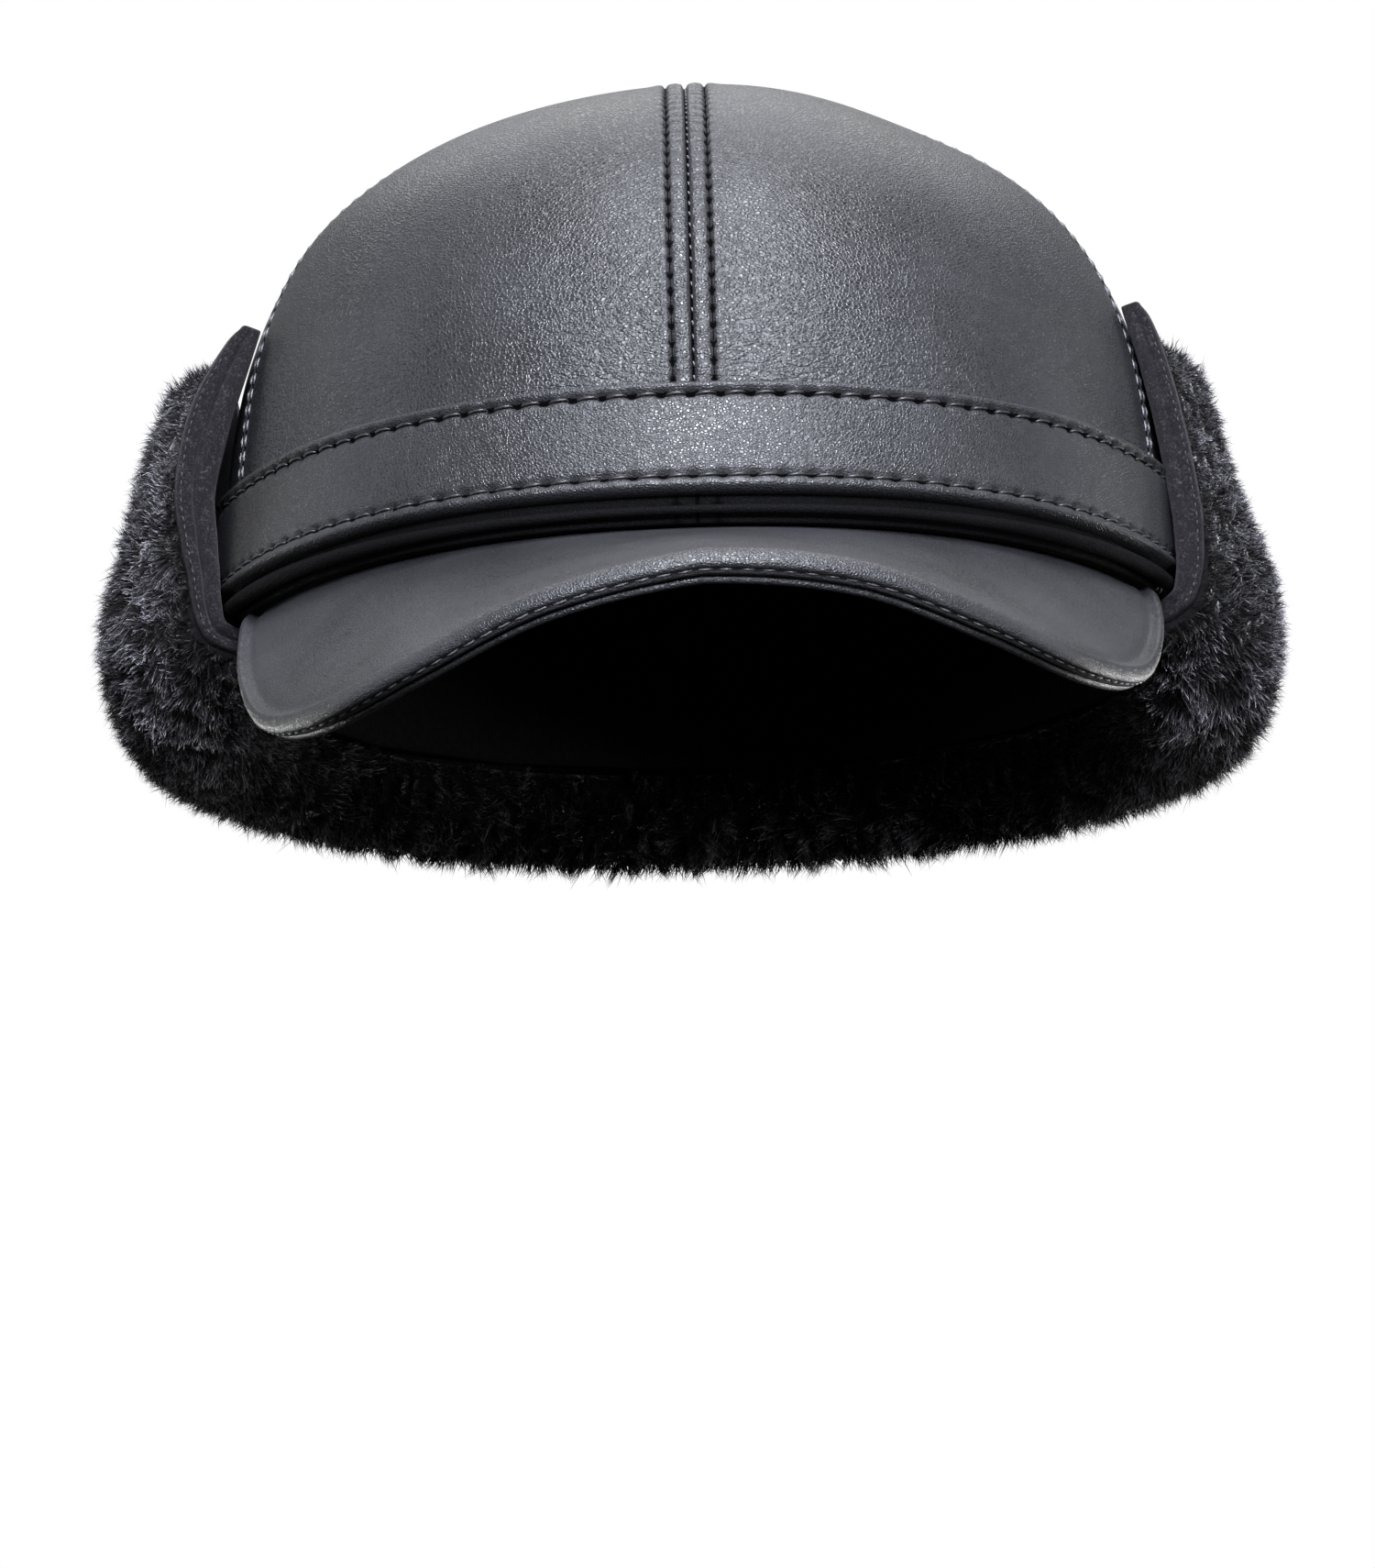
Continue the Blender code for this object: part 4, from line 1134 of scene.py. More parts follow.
def make_binding(hand, side, crease, material):
    """Cloth strip that closes the flap's front edge, with a crease pressed along it and a hem line."""
    around = 0.0 if side < 0 else 1.0
    azimuth = side * FLAP_FRONT_AZIMUTH
    normal = plan_normal(np.array(azimuth))
    forward = np.cross([0.0, 0.0, 1.0], normal) * -side
    out, height = (values[0] for values in flap_line(around))
    rows = np.linspace(0, len(out) - 1, 3 * len(out))
    normal_out, normal_up = (values[0] for values in line_normals(out[None], height[None]))
    out, height, normal_out, normal_up = (
        np.interp(rows, np.arange(len(out)), values) for values in (out, height, normal_out, normal_up)
    )
    rank = rows / rows[-1]
    half_width = BINDING_WIDTH / 2 * table_value(EDGE_ROWS, "rank", f"{hand}_width", rank)
    middle = -FLAP_WALL / 2 + half_width
    rim = plan_rim(np.array(azimuth))

    def place(across, ahead):
        flat = out[:, None] + normal_out[:, None] * across
        up = height[:, None] + normal_up[:, None] * across
        return rim + normal * flat[..., None] + forward * ahead[..., None] + up[..., None] * np.array([0, 0, 1.0])

    face = 2 * spread(BINDING_FACE_STEPS) - 1
    back = (1 - 2 * spread(BINDING_BACK_STEPS))[1:-1]
    fade = np.minimum(1.0, 12 * np.minimum(rank, 1 - rank))[:, None]
    edge = (1 - np.abs(face) ** STRIP_EDGE_POWER) ** 0.5
    puff = STRIP_PUFF * bump(face - STRIP_PUFF_PLACE, STRIP_PUFF_REACH)
    press = crease * bump(face - STRIP_CREASE_PLACE, STRIP_CREASE_REACH)
    swell = 0.08 * np.sin(23 * rank)[:, None] * puff / STRIP_PUFF
    front_ahead = BINDING_GAP + BINDING_THICKNESS * edge * (0.72 + (puff - press + swell) * fade)
    back_ahead = np.full((len(rows), len(back)), BINDING_GAP)
    across = np.concatenate([face, back])[None]
    ahead = np.concatenate([front_ahead, back_ahead], axis=1)
    rings = place(middle[:, None] + half_width[:, None] * across, ahead)
    mesh = closed_mesh(f"flap_binding_{hand}_woollen", *loft(rings))
    strip = make_piece(f"flap_binding_{hand}_woollen", mesh, material, [f"flap_binding_{hand}"])
    hem_ahead = np.full((len(rows), 1), BINDING_GAP + BINDING_THICKNESS * 0.70)
    hem = place((middle + half_width - HEM_INSET)[:, None], hem_ahead)[:, 0]
    runs = run_lengths(hem)
    marks = np.arange(4, math.floor(runs[-1] / HEM_PITCH) - 3) * HEM_PITCH
    hem_holes = np.stack([np.interp(marks, runs, hem[:, axis]) for axis in range(3)], axis=-1)
    return strip, stitches(hem_holes, np.broadcast_to(forward, hem_holes.shape), HEM_THREAD, HEM_PITCH)


def fur_depth(around, rank):
    """Pile depth, thin at the rim and the front edges, which end short of the tips, and full over the fold."""
    along = 1.0 - np.abs(2 * around - 1)
    full = FUR_FRONT_DEPTH + (FUR_DEPTH - FUR_FRONT_DEPTH) * smooth_step(along / FUR_FRONT_BLEND)
    rim_share = rounded_rise(rank / FUR_RIM_TAPER, FUR_RIM_SHARE)
    front = 1 - smooth_step(along / FUR_FRONT_CUT_REACH)
    taper = FUR_TOP_TAPER + (FUR_FRONT_END_TAPER - FUR_TOP_TAPER) * front
    end_share = FUR_TOP_SHARE + (FUR_FRONT_END_SHARE - FUR_TOP_SHARE) * front
    top_share = rounded_rise((1 - FUR_FRONT_CUT * front - rank) / taper, end_share)
    left = smooth_step(1 - 2 * around) * smooth_step(along / FUR_FRONT_BLEND)
    right = smooth_step(6 * around - 3) * smooth_step((1 - along) * 2 - 0.6)
    trim = FUR_LEFT_TRIM * left * bump(rank - FUR_LEFT_TRIM_RANK, FUR_LEFT_TRIM_REACH)
    trim = trim + FUR_RIGHT_TRIM * right * bump(rank - FUR_RIGHT_TRIM_RANK, FUR_RIGHT_TRIM_REACH)
    return full * rim_share * top_share * (1 - trim)


def fur_depths():
    rank = spread((len(FLAP_KNOTS) - 1) * FLAP_KNOT_SAMPLES)[None]
    return fur_depth(spread(FLAP_COLUMNS)[:, None], rank)


def fur_grid(share):
    """Grid of points in the fur, at a share of its depth over the backing."""
    return flap_surface(spread(FLAP_COLUMNS), FLAP_WALL / 2 + FUR_CLEARANCE + share * fur_depths())


def make_fur_base(material):
    """Dense dark underfur that the strands grow out of."""
    low = fur_grid(PILE_BASE_SHARE)
    high = fur_grid(PILE_LUMP_SHARE)
    top = low + (high - low) * underfur_lumps(low)[..., None]
    mesh = closed_mesh("ear_flap_underfur", *walled_grid(top, fur_grid(0.0)))
    return make_piece("ear_flap_underfur", mesh, material, ["ear_flap_fur"])


def tuft_centres(places, tuft_size, rng):
    """For each place on the flat pile, the nearest centre of a jittered grid of tufts and that tuft's number."""
    cell = np.floor(places / tuft_size).astype(int)
    low = cell.min(axis=0) - 2
    size = cell.max(axis=0) + 3 - low
    jitter = rng.uniform(0.1, 0.9, (size[0], size[1], 2))
    best = np.full(len(places), np.inf)
    centre = np.zeros_like(places)
    number = np.zeros(len(places), int)
    for step_a in (-1, 0, 1):
        for step_b in (-1, 0, 1):
            near = cell + (step_a, step_b)
            slot = near - low
            spot = (near + jitter[slot[:, 0], slot[:, 1]]) * tuft_size
            distance = np.linalg.norm(places - spot, axis=1)
            closer = distance < best
            best = np.where(closer, distance, best)
            centre[closer] = spot[closer]
            number[closer] = (slot[:, 0] * size[1] + slot[:, 1])[closer]
    return centre, number, size[0] * size[1]


def pile_strands():
    """Bent tapering strands over the whole flap: their points, their tones darkened as painted shade in the gaps
    between tufts and near the front edges, and shares round the flap.
    """
    rng = np.random.default_rng(PILE_SEED)
    low = fur_grid(PILE_BASE_SHARE)
    high = fur_grid(1.0)
    edge_a = low[1:, :-1] - low[:-1, :-1]
    edge_b = low[:-1, 1:] - low[:-1, :-1]
    areas = np.linalg.norm(np.cross(edge_a, edge_b), axis=-1)
    areas = areas * np.clip(fur_depths()[:-1, :-1] / PILE_THIN_DEPTH, 0, 1) ** 2
    chosen = rng.choice(areas.size, PILE_STRANDS, p=(areas / areas.sum()).ravel())
    row, column = np.unravel_index(chosen, areas.shape)
    share_a, share_b = rng.uniform(0, 1, (2, PILE_STRANDS))

    def sample(grid):
        weights = (
            ((1 - share_a) * (1 - share_b), grid[row, column]),
            (share_a * (1 - share_b), grid[row + 1, column]),
            ((1 - share_a) * share_b, grid[row, column + 1]),
            (share_a * share_b, grid[row + 1, column + 1]),
        )
        return sum(weight[:, None] * corner for weight, corner in weights)

    roots = sample(low)
    way = unit(sample(high) - sample(fur_grid(0.0)))
    along_a = unit(edge_a[row, column])
    along_b = unit(np.cross(way, along_a))
    run_a = np.concatenate([[0], np.cumsum(np.linalg.norm(edge_a, axis=-1).mean(axis=1))])
    run_b = np.concatenate([[0], np.cumsum(np.linalg.norm(edge_b, axis=-1).mean(axis=0))])
    flat = np.stack([
        run_a[row] + share_a * (run_a[row + 1] - run_a[row]),
        run_b[column] + share_b * (run_b[column + 1] - run_b[column]),
    ], axis=-1)
    centre, number, count = tuft_centres(flat, TUFT_SIZE, rng)
    pull = (centre - flat) * TUFT_PULL
    rise = 1 - smooth_step(np.linalg.norm(pull, axis=1) / (TUFT_PULL * TUFT_REACH))
    patch, patch_count = tuft_centres(flat, PATCH_SIZE, rng)[1:]
    tuft_lean = rng.normal(0, TUFT_LEAN, (count, 2))[number] + rng.normal(0, PATCH_LEAN, (patch_count, 2))[patch]
    tuft_shade = 0.48 * rng.uniform(0, 1, count)[number] + 0.52 * rng.uniform(0, 1, patch_count)[patch]
    strand_lean = rng.normal(0, STRAND_LEAN, (PILE_STRANDS, 2))
    depth = np.linalg.norm(sample(high) - roots, axis=1)
    length = (depth + PILE_TIP_REACH) * (1 + PILE_LENGTH_SPREAD * rng.uniform(-1, 0.6, PILE_STRANDS))
    length = length * (TUFT_LOW_SHARE + (1 - TUFT_LOW_SHARE) * rise)
    stray = np.where(rng.uniform(0, 1, PILE_STRANDS) < STRAY_SHARE, 1.0, 0.0)
    length = length + STRAY_REACH * stray * rng.uniform(0.2, 1.0, PILE_STRANDS)
    sideways = pull + (tuft_lean + strand_lean) * length[:, None]
    tips = roots + way * length[:, None] + along_a * sideways[:, :1] + along_b * sideways[:, 1:]
    tips[:, 2] -= PILE_SAG * length
    curl = rng.normal(0, STRAND_CURL, (PILE_STRANDS, 2)) * length[:, None]
    bends = roots * 0.45 + tips * 0.55 + along_a * curl[:, :1] + along_b * curl[:, 1:]
    bends += way * (0.12 * length)[:, None]
    turn = rng.uniform(0, np.pi, PILE_STRANDS)[:, None]
    flatway = along_a * np.cos(turn) + along_b * np.sin(turn)
    half = PILE_ROOT_WIDTH / 2 * rng.uniform(0.7, 1.3, PILE_STRANDS)[:, None]
    points = np.stack([
        roots - flatway * half,
        roots + flatway * half,
        bends - flatway * half * 0.85,
        bends + flatway * half * 0.85,
        tips,
    ], axis=1)
    shade = np.clip(0.7 * tuft_shade + 0.3 * rng.uniform(0, 1, PILE_STRANDS), 0, 1)
    # Strands between tufts are darkened as painted shade of the gaps
    shade = shade * (TUFT_GAP_PAINTED_SHADE + (1 - TUFT_GAP_PAINTED_SHADE) * rise)
    around = (row + share_a) / areas.shape[0]
    # Strands near the flap's front edges are darkened as painted shade cast by the strips
    from_edge = smooth_step(np.minimum(around, 1 - around) / FRONT_PAINTED_SHADE_REACH)
    shade = shade * (FRONT_PAINTED_SHADE + (1 - FRONT_PAINTED_SHADE) * from_edge)
    return points, shade, around


def make_pile(material):
    """Strand pieces, each over its own stretch of the flap."""
    points, shade, around = pile_strands()
    corners = points.shape[1]
    for part in range(PILE_PARTS):
        inside = (around >= part / PILE_PARTS) & (around < (part + 1) / PILE_PARTS)
        part_points = points[inside]
        count = len(part_points)
        base = np.arange(count)[:, None] * corners
        quads = base + np.array([[0, 1, 3, 2]])
        tips = base + np.array([[2, 3, 4]])
        name = f"ear_flap_pile_{part + 1}"
        mesh = mesh_from(name, part_points.reshape(-1, 3), [quads, tips])
        strand_shade = np.repeat(shade[inside], corners)
        height = np.tile([0.0, 0.0, 0.55, 0.55, 1.0], count)
        colours = np.stack([height, strand_shade, np.zeros_like(height), np.ones_like(height)], axis=-1)
        attribute = mesh.attributes.new("pile", "FLOAT_COLOR", "POINT")
        attribute.data.foreach_set("color", colours.astype(np.float32).ravel())
        make_piece(name, mesh, material)


def add_node(tree, kind, inputs=(), **settings):
    """Shader node with its settings and its inputs, which are values or other nodes' outputs."""
    node = tree.nodes.new(kind)
    for name, value in settings.items():
        setattr(node, name, value)
    for name, value in dict(inputs).items():
        if isinstance(value, bpy.types.NodeSocket):
            tree.links.new(value, node.inputs[name])
        else:
            node.inputs[name].default_value = value
    return node


def new_material(name):
    material = bpy.data.materials.new(name)
    material.use_nodes = True
    tree = material.node_tree
    return material, tree, tree.nodes["Principled BSDF"]


def ramp(tree, factor, stops):
    """Colour ramp through stops of place and brightness or colour."""
    node = add_node(tree, "ShaderNodeValToRGB", {"Fac": factor})
    elements = node.color_ramp.elements
    while len(elements) < len(stops):
        elements.new(0.5)
    for element, (place, colour) in zip(elements, stops):
        element.position = place
        element.color = (*colour, 1.0) if isinstance(colour, tuple) else (colour, colour, colour, 1.0)
    return node.outputs["Color"]


def leather_material(name, tone, grain_scale, wrinkle_scale, wrinkle_share, grain_depth, roughness, shine=0.5):
    """Black leather: pebbled grain, a net of flat wrinkles, deeper low down, uneven sheen, and dull seams darkened
    by painted shade.
    """
    material, tree, shader = new_material(name)
    place = add_node(tree, "ShaderNodeTexCoord").outputs["Object"]
    warp = add_node(tree, "ShaderNodeTexNoise", {"Vector": place, "Scale": 300.0, "Detail": 2.0})
    shifted = add_node(tree, "ShaderNodeVectorMath", {0: warp.outputs["Color"], 1: (0.0006, 0.0006, 0.0006)},
                       operation="MULTIPLY").outputs[0]
    bent = add_node(tree, "ShaderNodeVectorMath", {0: place, 1: shifted}, operation="ADD").outputs[0]
    squeezed = add_node(tree, "ShaderNodeMapping", {"Vector": bent, "Scale": (1.0, 1.0, 1.35)}).outputs[0]
    cells = add_node(tree, "ShaderNodeTexVoronoi", {"Vector": squeezed, "Scale": grain_scale},
                     feature="DISTANCE_TO_EDGE").outputs["Distance"]
    pebbles = add_node(tree, "ShaderNodeMapRange", {"Value": cells, "From Max": 0.30},
                       interpolation_type="SMOOTHSTEP").outputs["Result"]
    fine = add_node(tree, "ShaderNodeTexNoise", {"Vector": bent, "Scale": 2.2 * grain_scale, "Detail": 2.0})
    grain = add_node(tree, "ShaderNodeMath", {0: fine.outputs["Fac"], 1: 0.35, 2: pebbles},
                     operation="MULTIPLY_ADD").outputs[0]
    netted = add_node(tree, "ShaderNodeMapping", {"Vector": bent, "Scale": wrinkle_scale}).outputs[0]
    net = add_node(tree, "ShaderNodeTexVoronoi", {"Vector": netted, "Scale": 1.0},
                   feature="DISTANCE_TO_EDGE").outputs["Distance"]
    wrinkles = add_node(tree, "ShaderNodeMapRange", {"Value": net, "From Max": 0.16},
                        interpolation_type="SMOOTHSTEP").outputs["Result"]
    patches = add_node(tree, "ShaderNodeTexNoise", {"Vector": place, "Scale": 38.0, "Detail": 3.0}).outputs["Fac"]
    reach = add_node(tree, "ShaderNodeMapRange", {"Value": patches, "From Min": 0.38, "From Max": 0.62,
                                                  "To Min": 0.25 * wrinkle_share, "To Max": wrinkle_share})
    height = add_node(tree, "ShaderNodeSeparateXYZ", {0: place}).outputs["Z"]
    low = add_node(tree, "ShaderNodeMapRange", {"Value": height, "From Min": 0.065, "From Max": 0.020,
                                                "To Min": 0.15, "To Max": 3.0}).outputs["Result"]
    folds = add_node(tree, "ShaderNodeMath", {0: reach.outputs["Result"], 1: low}, operation="MULTIPLY").outputs[0]
    wrinkled = add_node(tree, "ShaderNodeMath", {0: wrinkles, 1: folds, 2: grain},
                        operation="MULTIPLY_ADD").outputs[0]
    normal = add_node(tree, "ShaderNodeBump", {"Height": wrinkled, "Strength": 1.0, "Distance": grain_depth})
    painted_shade = add_node(tree, "ShaderNodeAttribute", attribute_name="painted_shade").outputs["Fac"]
    dark = tuple(0.75 * value for value in tone)
    light = tuple(1.35 * value for value in tone)
    plain = ramp(tree, patches, ((0.35, dark), (0.65, light)))
    # Painted shade: the base colour darkens where a place lies deep in a seam, a stitched row or a needle hole
    shadow = ramp(tree, painted_shade, ((0.25, 1.0), (0.80, 0.08)))
    colour = add_node(tree, "ShaderNodeVectorMath", {0: plain, 1: shadow}, operation="MULTIPLY").outputs[0]
    gloss = add_node(tree, "ShaderNodeMapRange", {"Value": patches, "From Min": 0.3, "From Max": 0.7,
                                                  "To Min": roughness - 0.03, "To Max": roughness + 0.04})
    between = add_node(tree, "ShaderNodeMath", {0: pebbles, 1: -0.22, 2: 0.14}, operation="MULTIPLY_ADD").outputs[0]
    grained = add_node(tree, "ShaderNodeMath", {0: between, 1: gloss.outputs["Result"]}, operation="ADD").outputs[0]
    dulled = add_node(tree, "ShaderNodeMath", {0: painted_shade, 1: 0.65, 2: grained},
                      operation="MULTIPLY_ADD", use_clamp=True).outputs[0]
    tree.links.new(colour, shader.inputs["Base Color"])
    tree.links.new(dulled, shader.inputs["Roughness"])
    tree.links.new(normal.outputs["Normal"], shader.inputs["Normal"])
    shader.inputs["Specular IOR Level"].default_value = shine
    return material


def lining_material():
    """Plain black lining."""
    material, tree, shader = new_material("lining")
    place = add_node(tree, "ShaderNodeTexCoord").outputs["Object"]
    weave = add_node(tree, "ShaderNodeTexNoise", {"Vector": place, "Scale": 900.0, "Detail": 3.0}).outputs["Fac"]
    colour = ramp(tree, weave, ((0.3, 0.003), (0.7, 0.008)))
    tree.links.new(colour, shader.inputs["Base Color"])
    shader.inputs["Roughness"].default_value = 0.9
    shader.inputs["Specular IOR Level"].default_value = 0.15
    return material


def thread_material(name, dark, light):
    """Sewing thread with a soft shine."""
    material, tree, shader = new_material(name)
    place = add_node(tree, "ShaderNodeTexCoord").outputs["Object"]
    twist = add_node(tree, "ShaderNodeTexNoise", {"Vector": place, "Scale": 3200.0, "Detail": 2.0}).outputs["Fac"]
    colour = ramp(tree, twist, ((0.3, dark), (0.7, light)))
    normal = add_node(tree, "ShaderNodeBump", {"Height": twist, "Strength": 0.6, "Distance": 0.00008})
    tree.links.new(colour, shader.inputs["Base Color"])
    tree.links.new(normal.outputs["Normal"], shader.inputs["Normal"])
    shader.inputs["Roughness"].default_value = 0.45
    return material


def wool_material():
    """Matt charcoal woollen cloth with lighter fibres."""
    material, tree, shader = new_material("woollen_cloth")
    place = add_node(tree, "ShaderNodeTexCoord").outputs["Object"]
    fibres = add_node(tree, "ShaderNodeTexNoise", {"Vector": place, "Scale": 2600.0, "Detail": 4.0,
                                                   "Distortion": 1.0}).outputs["Fac"]
    clouds = add_node(tree, "ShaderNodeTexNoise", {"Vector": place, "Scale": 500.0, "Detail": 3.0}).outputs["Fac"]
    mixed = add_node(tree, "ShaderNodeMath", {0: clouds, 1: 0.35, 2: fibres}, operation="MULTIPLY_ADD").outputs[0]
    colour = ramp(tree, mixed, ((0.50, (0.0015, 0.0013, 0.0018)), (0.72, (0.0035, 0.0031, 0.0040)),
                                (0.90, (0.030, 0.028, 0.032))))
    normal = add_node(tree, "ShaderNodeBump", {"Height": fibres, "Strength": 0.8, "Distance": 0.00020})
    tree.links.new(colour, shader.inputs["Base Color"])
    tree.links.new(normal.outputs["Normal"], shader.inputs["Normal"])
    shader.inputs["Roughness"].default_value = 0.95
    shader.inputs["Specular IOR Level"].default_value = 0.2
    shader.inputs["Sheen Weight"].default_value = 0.05
    shader.inputs["Sheen Roughness"].default_value = 0.5
    shader.inputs["Sheen Tint"].default_value = (0.78, 0.76, 0.82, 1.0)
    return material


def underfur_material():
    """Near black root of the pile."""
    material, tree, shader = new_material("underfur")
    place = add_node(tree, "ShaderNodeTexCoord").outputs["Object"]
    tufts = add_node(tree, "ShaderNodeTexNoise", {"Vector": place, "Scale": 420.0, "Detail": 4.0}).outputs["Fac"]
    colour = ramp(tree, tufts, ((0.35, (0.0015, 0.0015, 0.002)), (0.7, (0.005, 0.0047, 0.0055))))
    normal = add_node(tree, "ShaderNodeBump", {"Height": tufts, "Strength": 1.0, "Distance": 0.0012})
    tree.links.new(colour, shader.inputs["Base Color"])
    tree.links.new(normal.outputs["Normal"], shader.inputs["Normal"])
    shader.inputs["Roughness"].default_value = 0.9
    shader.inputs["Specular IOR Level"].default_value = 0.10
    shader.inputs["Sheen Weight"].default_value = 0.30
    shader.inputs["Sheen Roughness"].default_value = 0.25
    return material


def pile_material():
    """Short fur: black roots, grey tips, tufts of different shade, and painted shade in the gaps between tufts and
    near the front edges.
    """
    material, tree, shader = new_material("grey_tipped_pile")
    pile = add_node(tree, "ShaderNodeAttribute", attribute_name="pile").outputs["Color"]
    parts = add_node(tree, "ShaderNodeSeparateColor", {"Color": pile}).outputs
    plain = ramp(tree, parts["Red"], ((0.0, (0.002, 0.002, 0.0025)), (0.50, (0.006, 0.0056, 0.0065)),
                                      (0.75, (0.071, 0.068, 0.078)), (1.0, (0.820, 0.800, 0.880))))
    shade = add_node(tree, "ShaderNodeMapRange", {"Value": parts["Green"], "From Min": 0.14, "From Max": 0.66,
                                                  "To Min": 0.02, "To Max": 1.20}).outputs["Result"]
    colour = add_node(tree, "ShaderNodeVectorMath", {0: plain, 1: shade}, operation="MULTIPLY").outputs[0]
    tree.links.new(colour, shader.inputs["Base Color"])
    shader.inputs["Roughness"].default_value = 0.60
    shader.inputs["Specular IOR Level"].default_value = 0.20
    shader.inputs["Sheen Weight"].default_value = 0.45
    shader.inputs["Sheen Roughness"].default_value = 0.25
    return material


def make_camera():
    """Long lens just below the cap, looking up at its front."""
    data = bpy.data.cameras.new("camera")
    camera = bpy.data.objects.new("camera", data)
    bpy.context.scene.collection.objects.link(camera)
    forward = Vector((0.0, math.cos(CAMERA_PITCH), math.sin(CAMERA_PITCH)))
    level_up = Vector((0.0, -math.sin(CAMERA_PITCH), math.cos(CAMERA_PITCH)))
    level_right = Vector((1.0, 0.0, 0.0))
    up = level_up * math.cos(CAMERA_ROLL) + level_right * math.sin(CAMERA_ROLL)
    right = level_right * math.cos(CAMERA_ROLL) - level_up * math.sin(CAMERA_ROLL)
    turn = Matrix((right, up, -forward)).transposed()
    camera.matrix_world = Matrix.Translation(CAMERA_TARGET - forward * CAMERA_DISTANCE) @ turn.to_4x4()
    data.sensor_fit = "VERTICAL"
    data.sensor_height = SENSOR_HEIGHT
    data.lens = FOCAL_PIXELS / FRAME_HEIGHT * SENSOR_HEIGHT
    data.clip_start = 0.01
    bpy.context.scene.camera = camera


def add_area_light(name, place, target, size, power, colour=(1.0, 1.0, 1.0)):
    data = bpy.data.lights.new(name, "AREA")
    data.shape = "RECTANGLE"
    data.size, data.size_y = size
    data.energy = power
    data.color = colour
    light = bpy.data.objects.new(name, data)
    bpy.context.scene.collection.objects.link(light)
    light.location = place
    light.rotation_euler = (Vector(target) - Vector(place)).to_track_quat("-Z", "Y").to_euler()


def make_stage():
    """Pale floor, white surroundings and soft studio light."""
    bpy.ops.mesh.primitive_plane_add(size=FLOOR_SIZE, location=(0.0, 0.0, FLOOR_HEIGHT))
    floor = bpy.context.active_object
    floor.name = "floor"
    material, tree, shader = new_material("floor")
    shader.inputs["Base Color"].default_value = (0.55, 0.55, 0.55, 1.0)
    shader.inputs["Emission Color"].default_value = (1.0, 1.0, 1.0, 1.0)
    shader.inputs["Emission Strength"].default_value = 0.60
    shader.inputs["Roughness"].default_value = 0.9
    floor.data.materials.append(material)
    floor.visible_diffuse = False
    floor.visible_glossy = False
    world = bpy.data.worlds.new("surroundings")
    world.use_nodes = True
    tree = world.node_tree
    lit = tree.nodes["Background"]
    lit.inputs["Color"].default_value = (0.94, 0.96, 1.0, 1.0)
    way = add_node(tree, "ShaderNodeSeparateXYZ", {0: add_node(tree, "ShaderNodeTexCoord").outputs["Generated"]})
    above = add_node(tree, "ShaderNodeMapRange", {"Value": way.outputs["Z"], "From Min": -0.25, "From Max": 0.6,
                                                  "To Min": 0.06, "To Max": 1.0}).outputs["Result"]
    behind = add_node(tree, "ShaderNodeMapRange", {"Value": way.outputs["Y"], "From Min": -0.8, "From Max": 0.6,
                                                   "To Min": 0.06, "To Max": 0.26}).outputs["Result"]
    strength = add_node(tree, "ShaderNodeMath", {0: above, 1: behind}, operation="MULTIPLY").outputs[0]
    tree.links.new(strength, lit.inputs["Strength"])
    seen = add_node(tree, "ShaderNodeBackground", {"Color": (1.0, 1.0, 1.0, 1.0), "Strength": 1.0})
    path = add_node(tree, "ShaderNodeLightPath")
    mix = add_node(tree, "ShaderNodeMixShader", {0: path.outputs["Is Camera Ray"],
                                                 1: lit.outputs[0], 2: seen.outputs[0]})
    tree.links.new(mix.outputs[0], tree.nodes["World Output"].inputs["Surface"])
    bpy.context.scene.world = world
    bpy.context.scene.view_settings.view_transform = "Standard"
    centre = (0.0, 0.0, 0.03)
    add_area_light("key_light", (0.07, -1.15, 0.34), centre, (0.36, 0.34), 35.0, (0.87, 0.89, 1.0))
    add_area_light("middle_light", (0.05, -0.95, 0.62), centre, (0.30, 0.40), 8.5, (0.87, 0.89, 1.0))
    add_area_light("high_light", (0.05, -0.55, 0.98), centre, (0.50, 0.50), 19.0, (0.92, 0.94, 1.0))
    add_area_light("top_light", (0.0, 0.6, 1.1), centre, (1.3, 0.9), 8.0)
    add_area_light("left_light", (-1.3, 0.35, 0.35), centre, (0.6, 1.0), 4.0)
    add_area_light("right_light", (1.3, 0.35, 0.35), centre, (0.6, 1.0), 3.0)
    add_area_light("left_front_light", (-1.0, -0.8, 0.35), centre, (0.4, 0.8), 1.5)
    add_area_light("left_low_light", (-0.9, 1.10, -0.06), centre, (0.5, 0.25), 4.0)
    add_area_light("right_low_light", (0.9, 1.10, -0.06), centre, (0.5, 0.25), 6.0)
    add_area_light("left_under_light", (-1.2, -0.20, -0.20), centre, (0.4, 0.15), 1.5)
    add_area_light("right_under_light", (1.0, -0.60, -0.22), centre, (0.4, 0.15), 4.0)


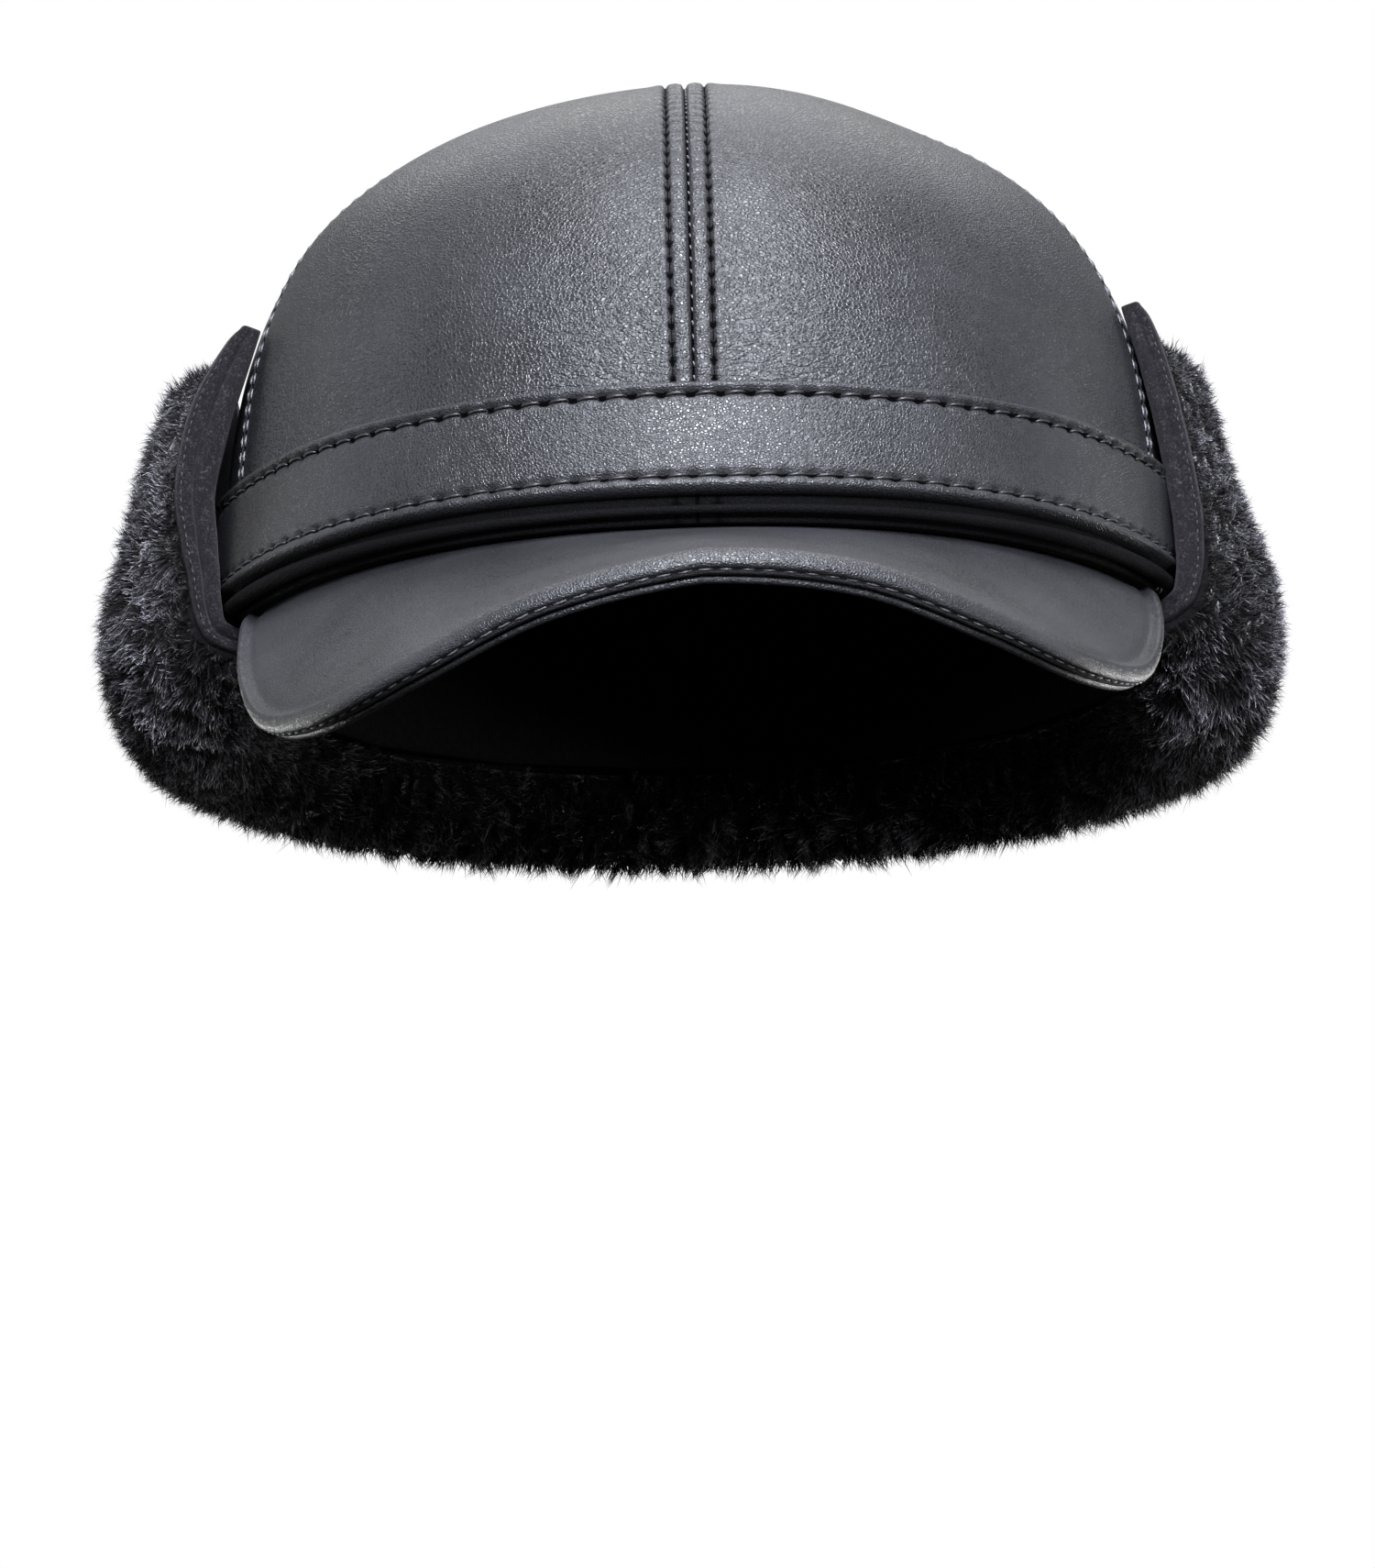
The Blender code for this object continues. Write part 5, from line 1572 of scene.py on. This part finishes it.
def dress_cap():
    tone = (0.0115, 0.0120, 0.0140)
    # Near black, dull leather painted as the shade in the recess, in the deep seams and stitch rows, and on the
    # roll
    painted_shade_tone = (0.0015, 0.0015, 0.0018)
    crown_leather = leather_material("crown_leather", tone, 1350.0, (260.0, 260.0, 820.0), 0.60, 0.00008, 0.35)
    trim_leather = leather_material("trim_leather", tone, 1700.0, (500.0, 500.0, 500.0), 0.15, 0.00007, 0.36)
    visor_leather = leather_material("visor_leather", tone, 1900.0, (120.0, 480.0, 480.0), 0.20, 0.00006, 0.36)
    painted_shade_leather = leather_material("painted_shade_leather", painted_shade_tone, 1700.0, (500.0, 500.0, 500.0), 0.15,
                                      0.00007, 0.70, 0.06)
    thread = thread_material("black_thread", (0.004, 0.004, 0.004), (0.022, 0.022, 0.024))
    # Thread painted light grey as a painted highlight of glinting stitches
    glint_painted_thread = thread_material("thread_painted_glint", (0.030, 0.030, 0.033), (0.130, 0.130, 0.138))
    wool = wool_material()
    panels = make_crown(crown_leather, lining_material(), painted_shade_leather)
    make_crown_stitches(panels, thread, glint_painted_thread)
    make_band(trim_leather, painted_shade_leather)
    make_band_stitches(thread)
    # The roll takes the near black leather as painted shade of the recess
    make_roll(painted_shade_leather)
    make_peak_layer("visor_top", 0.0, PEAK_TOP_THICKNESS, 0.0, PEAK_END_MARGIN,
                    PEAK_TOP_COLUMNS, True, visor_leather)
    make_peak_layer("visor_under", PEAK_TOP_THICKNESS, PEAK_UNDER_THICKNESS, PEAK_UNDER_LOOK_INSET,
                    PEAK_UNDER_END_MARGIN, PEAK_UNDER_COLUMNS, False, visor_leather)
    # The peak's stitches take the same thread with its painted highlight
    make_peak_stitches(glint_painted_thread)
    make_flap_cloth(wool)
    hems = []
    for hand, side, crease in (("left", -1, 0.50), ("right", 1, 0.12)):
        hems.append(make_binding(hand, side, crease, wool)[1])
    make_stitches("flap_binding_hems", hems, thread)
    make_fur_base(underfur_material())
    make_pile(pile_material())


make_camera()
make_stage()
dress_cap()
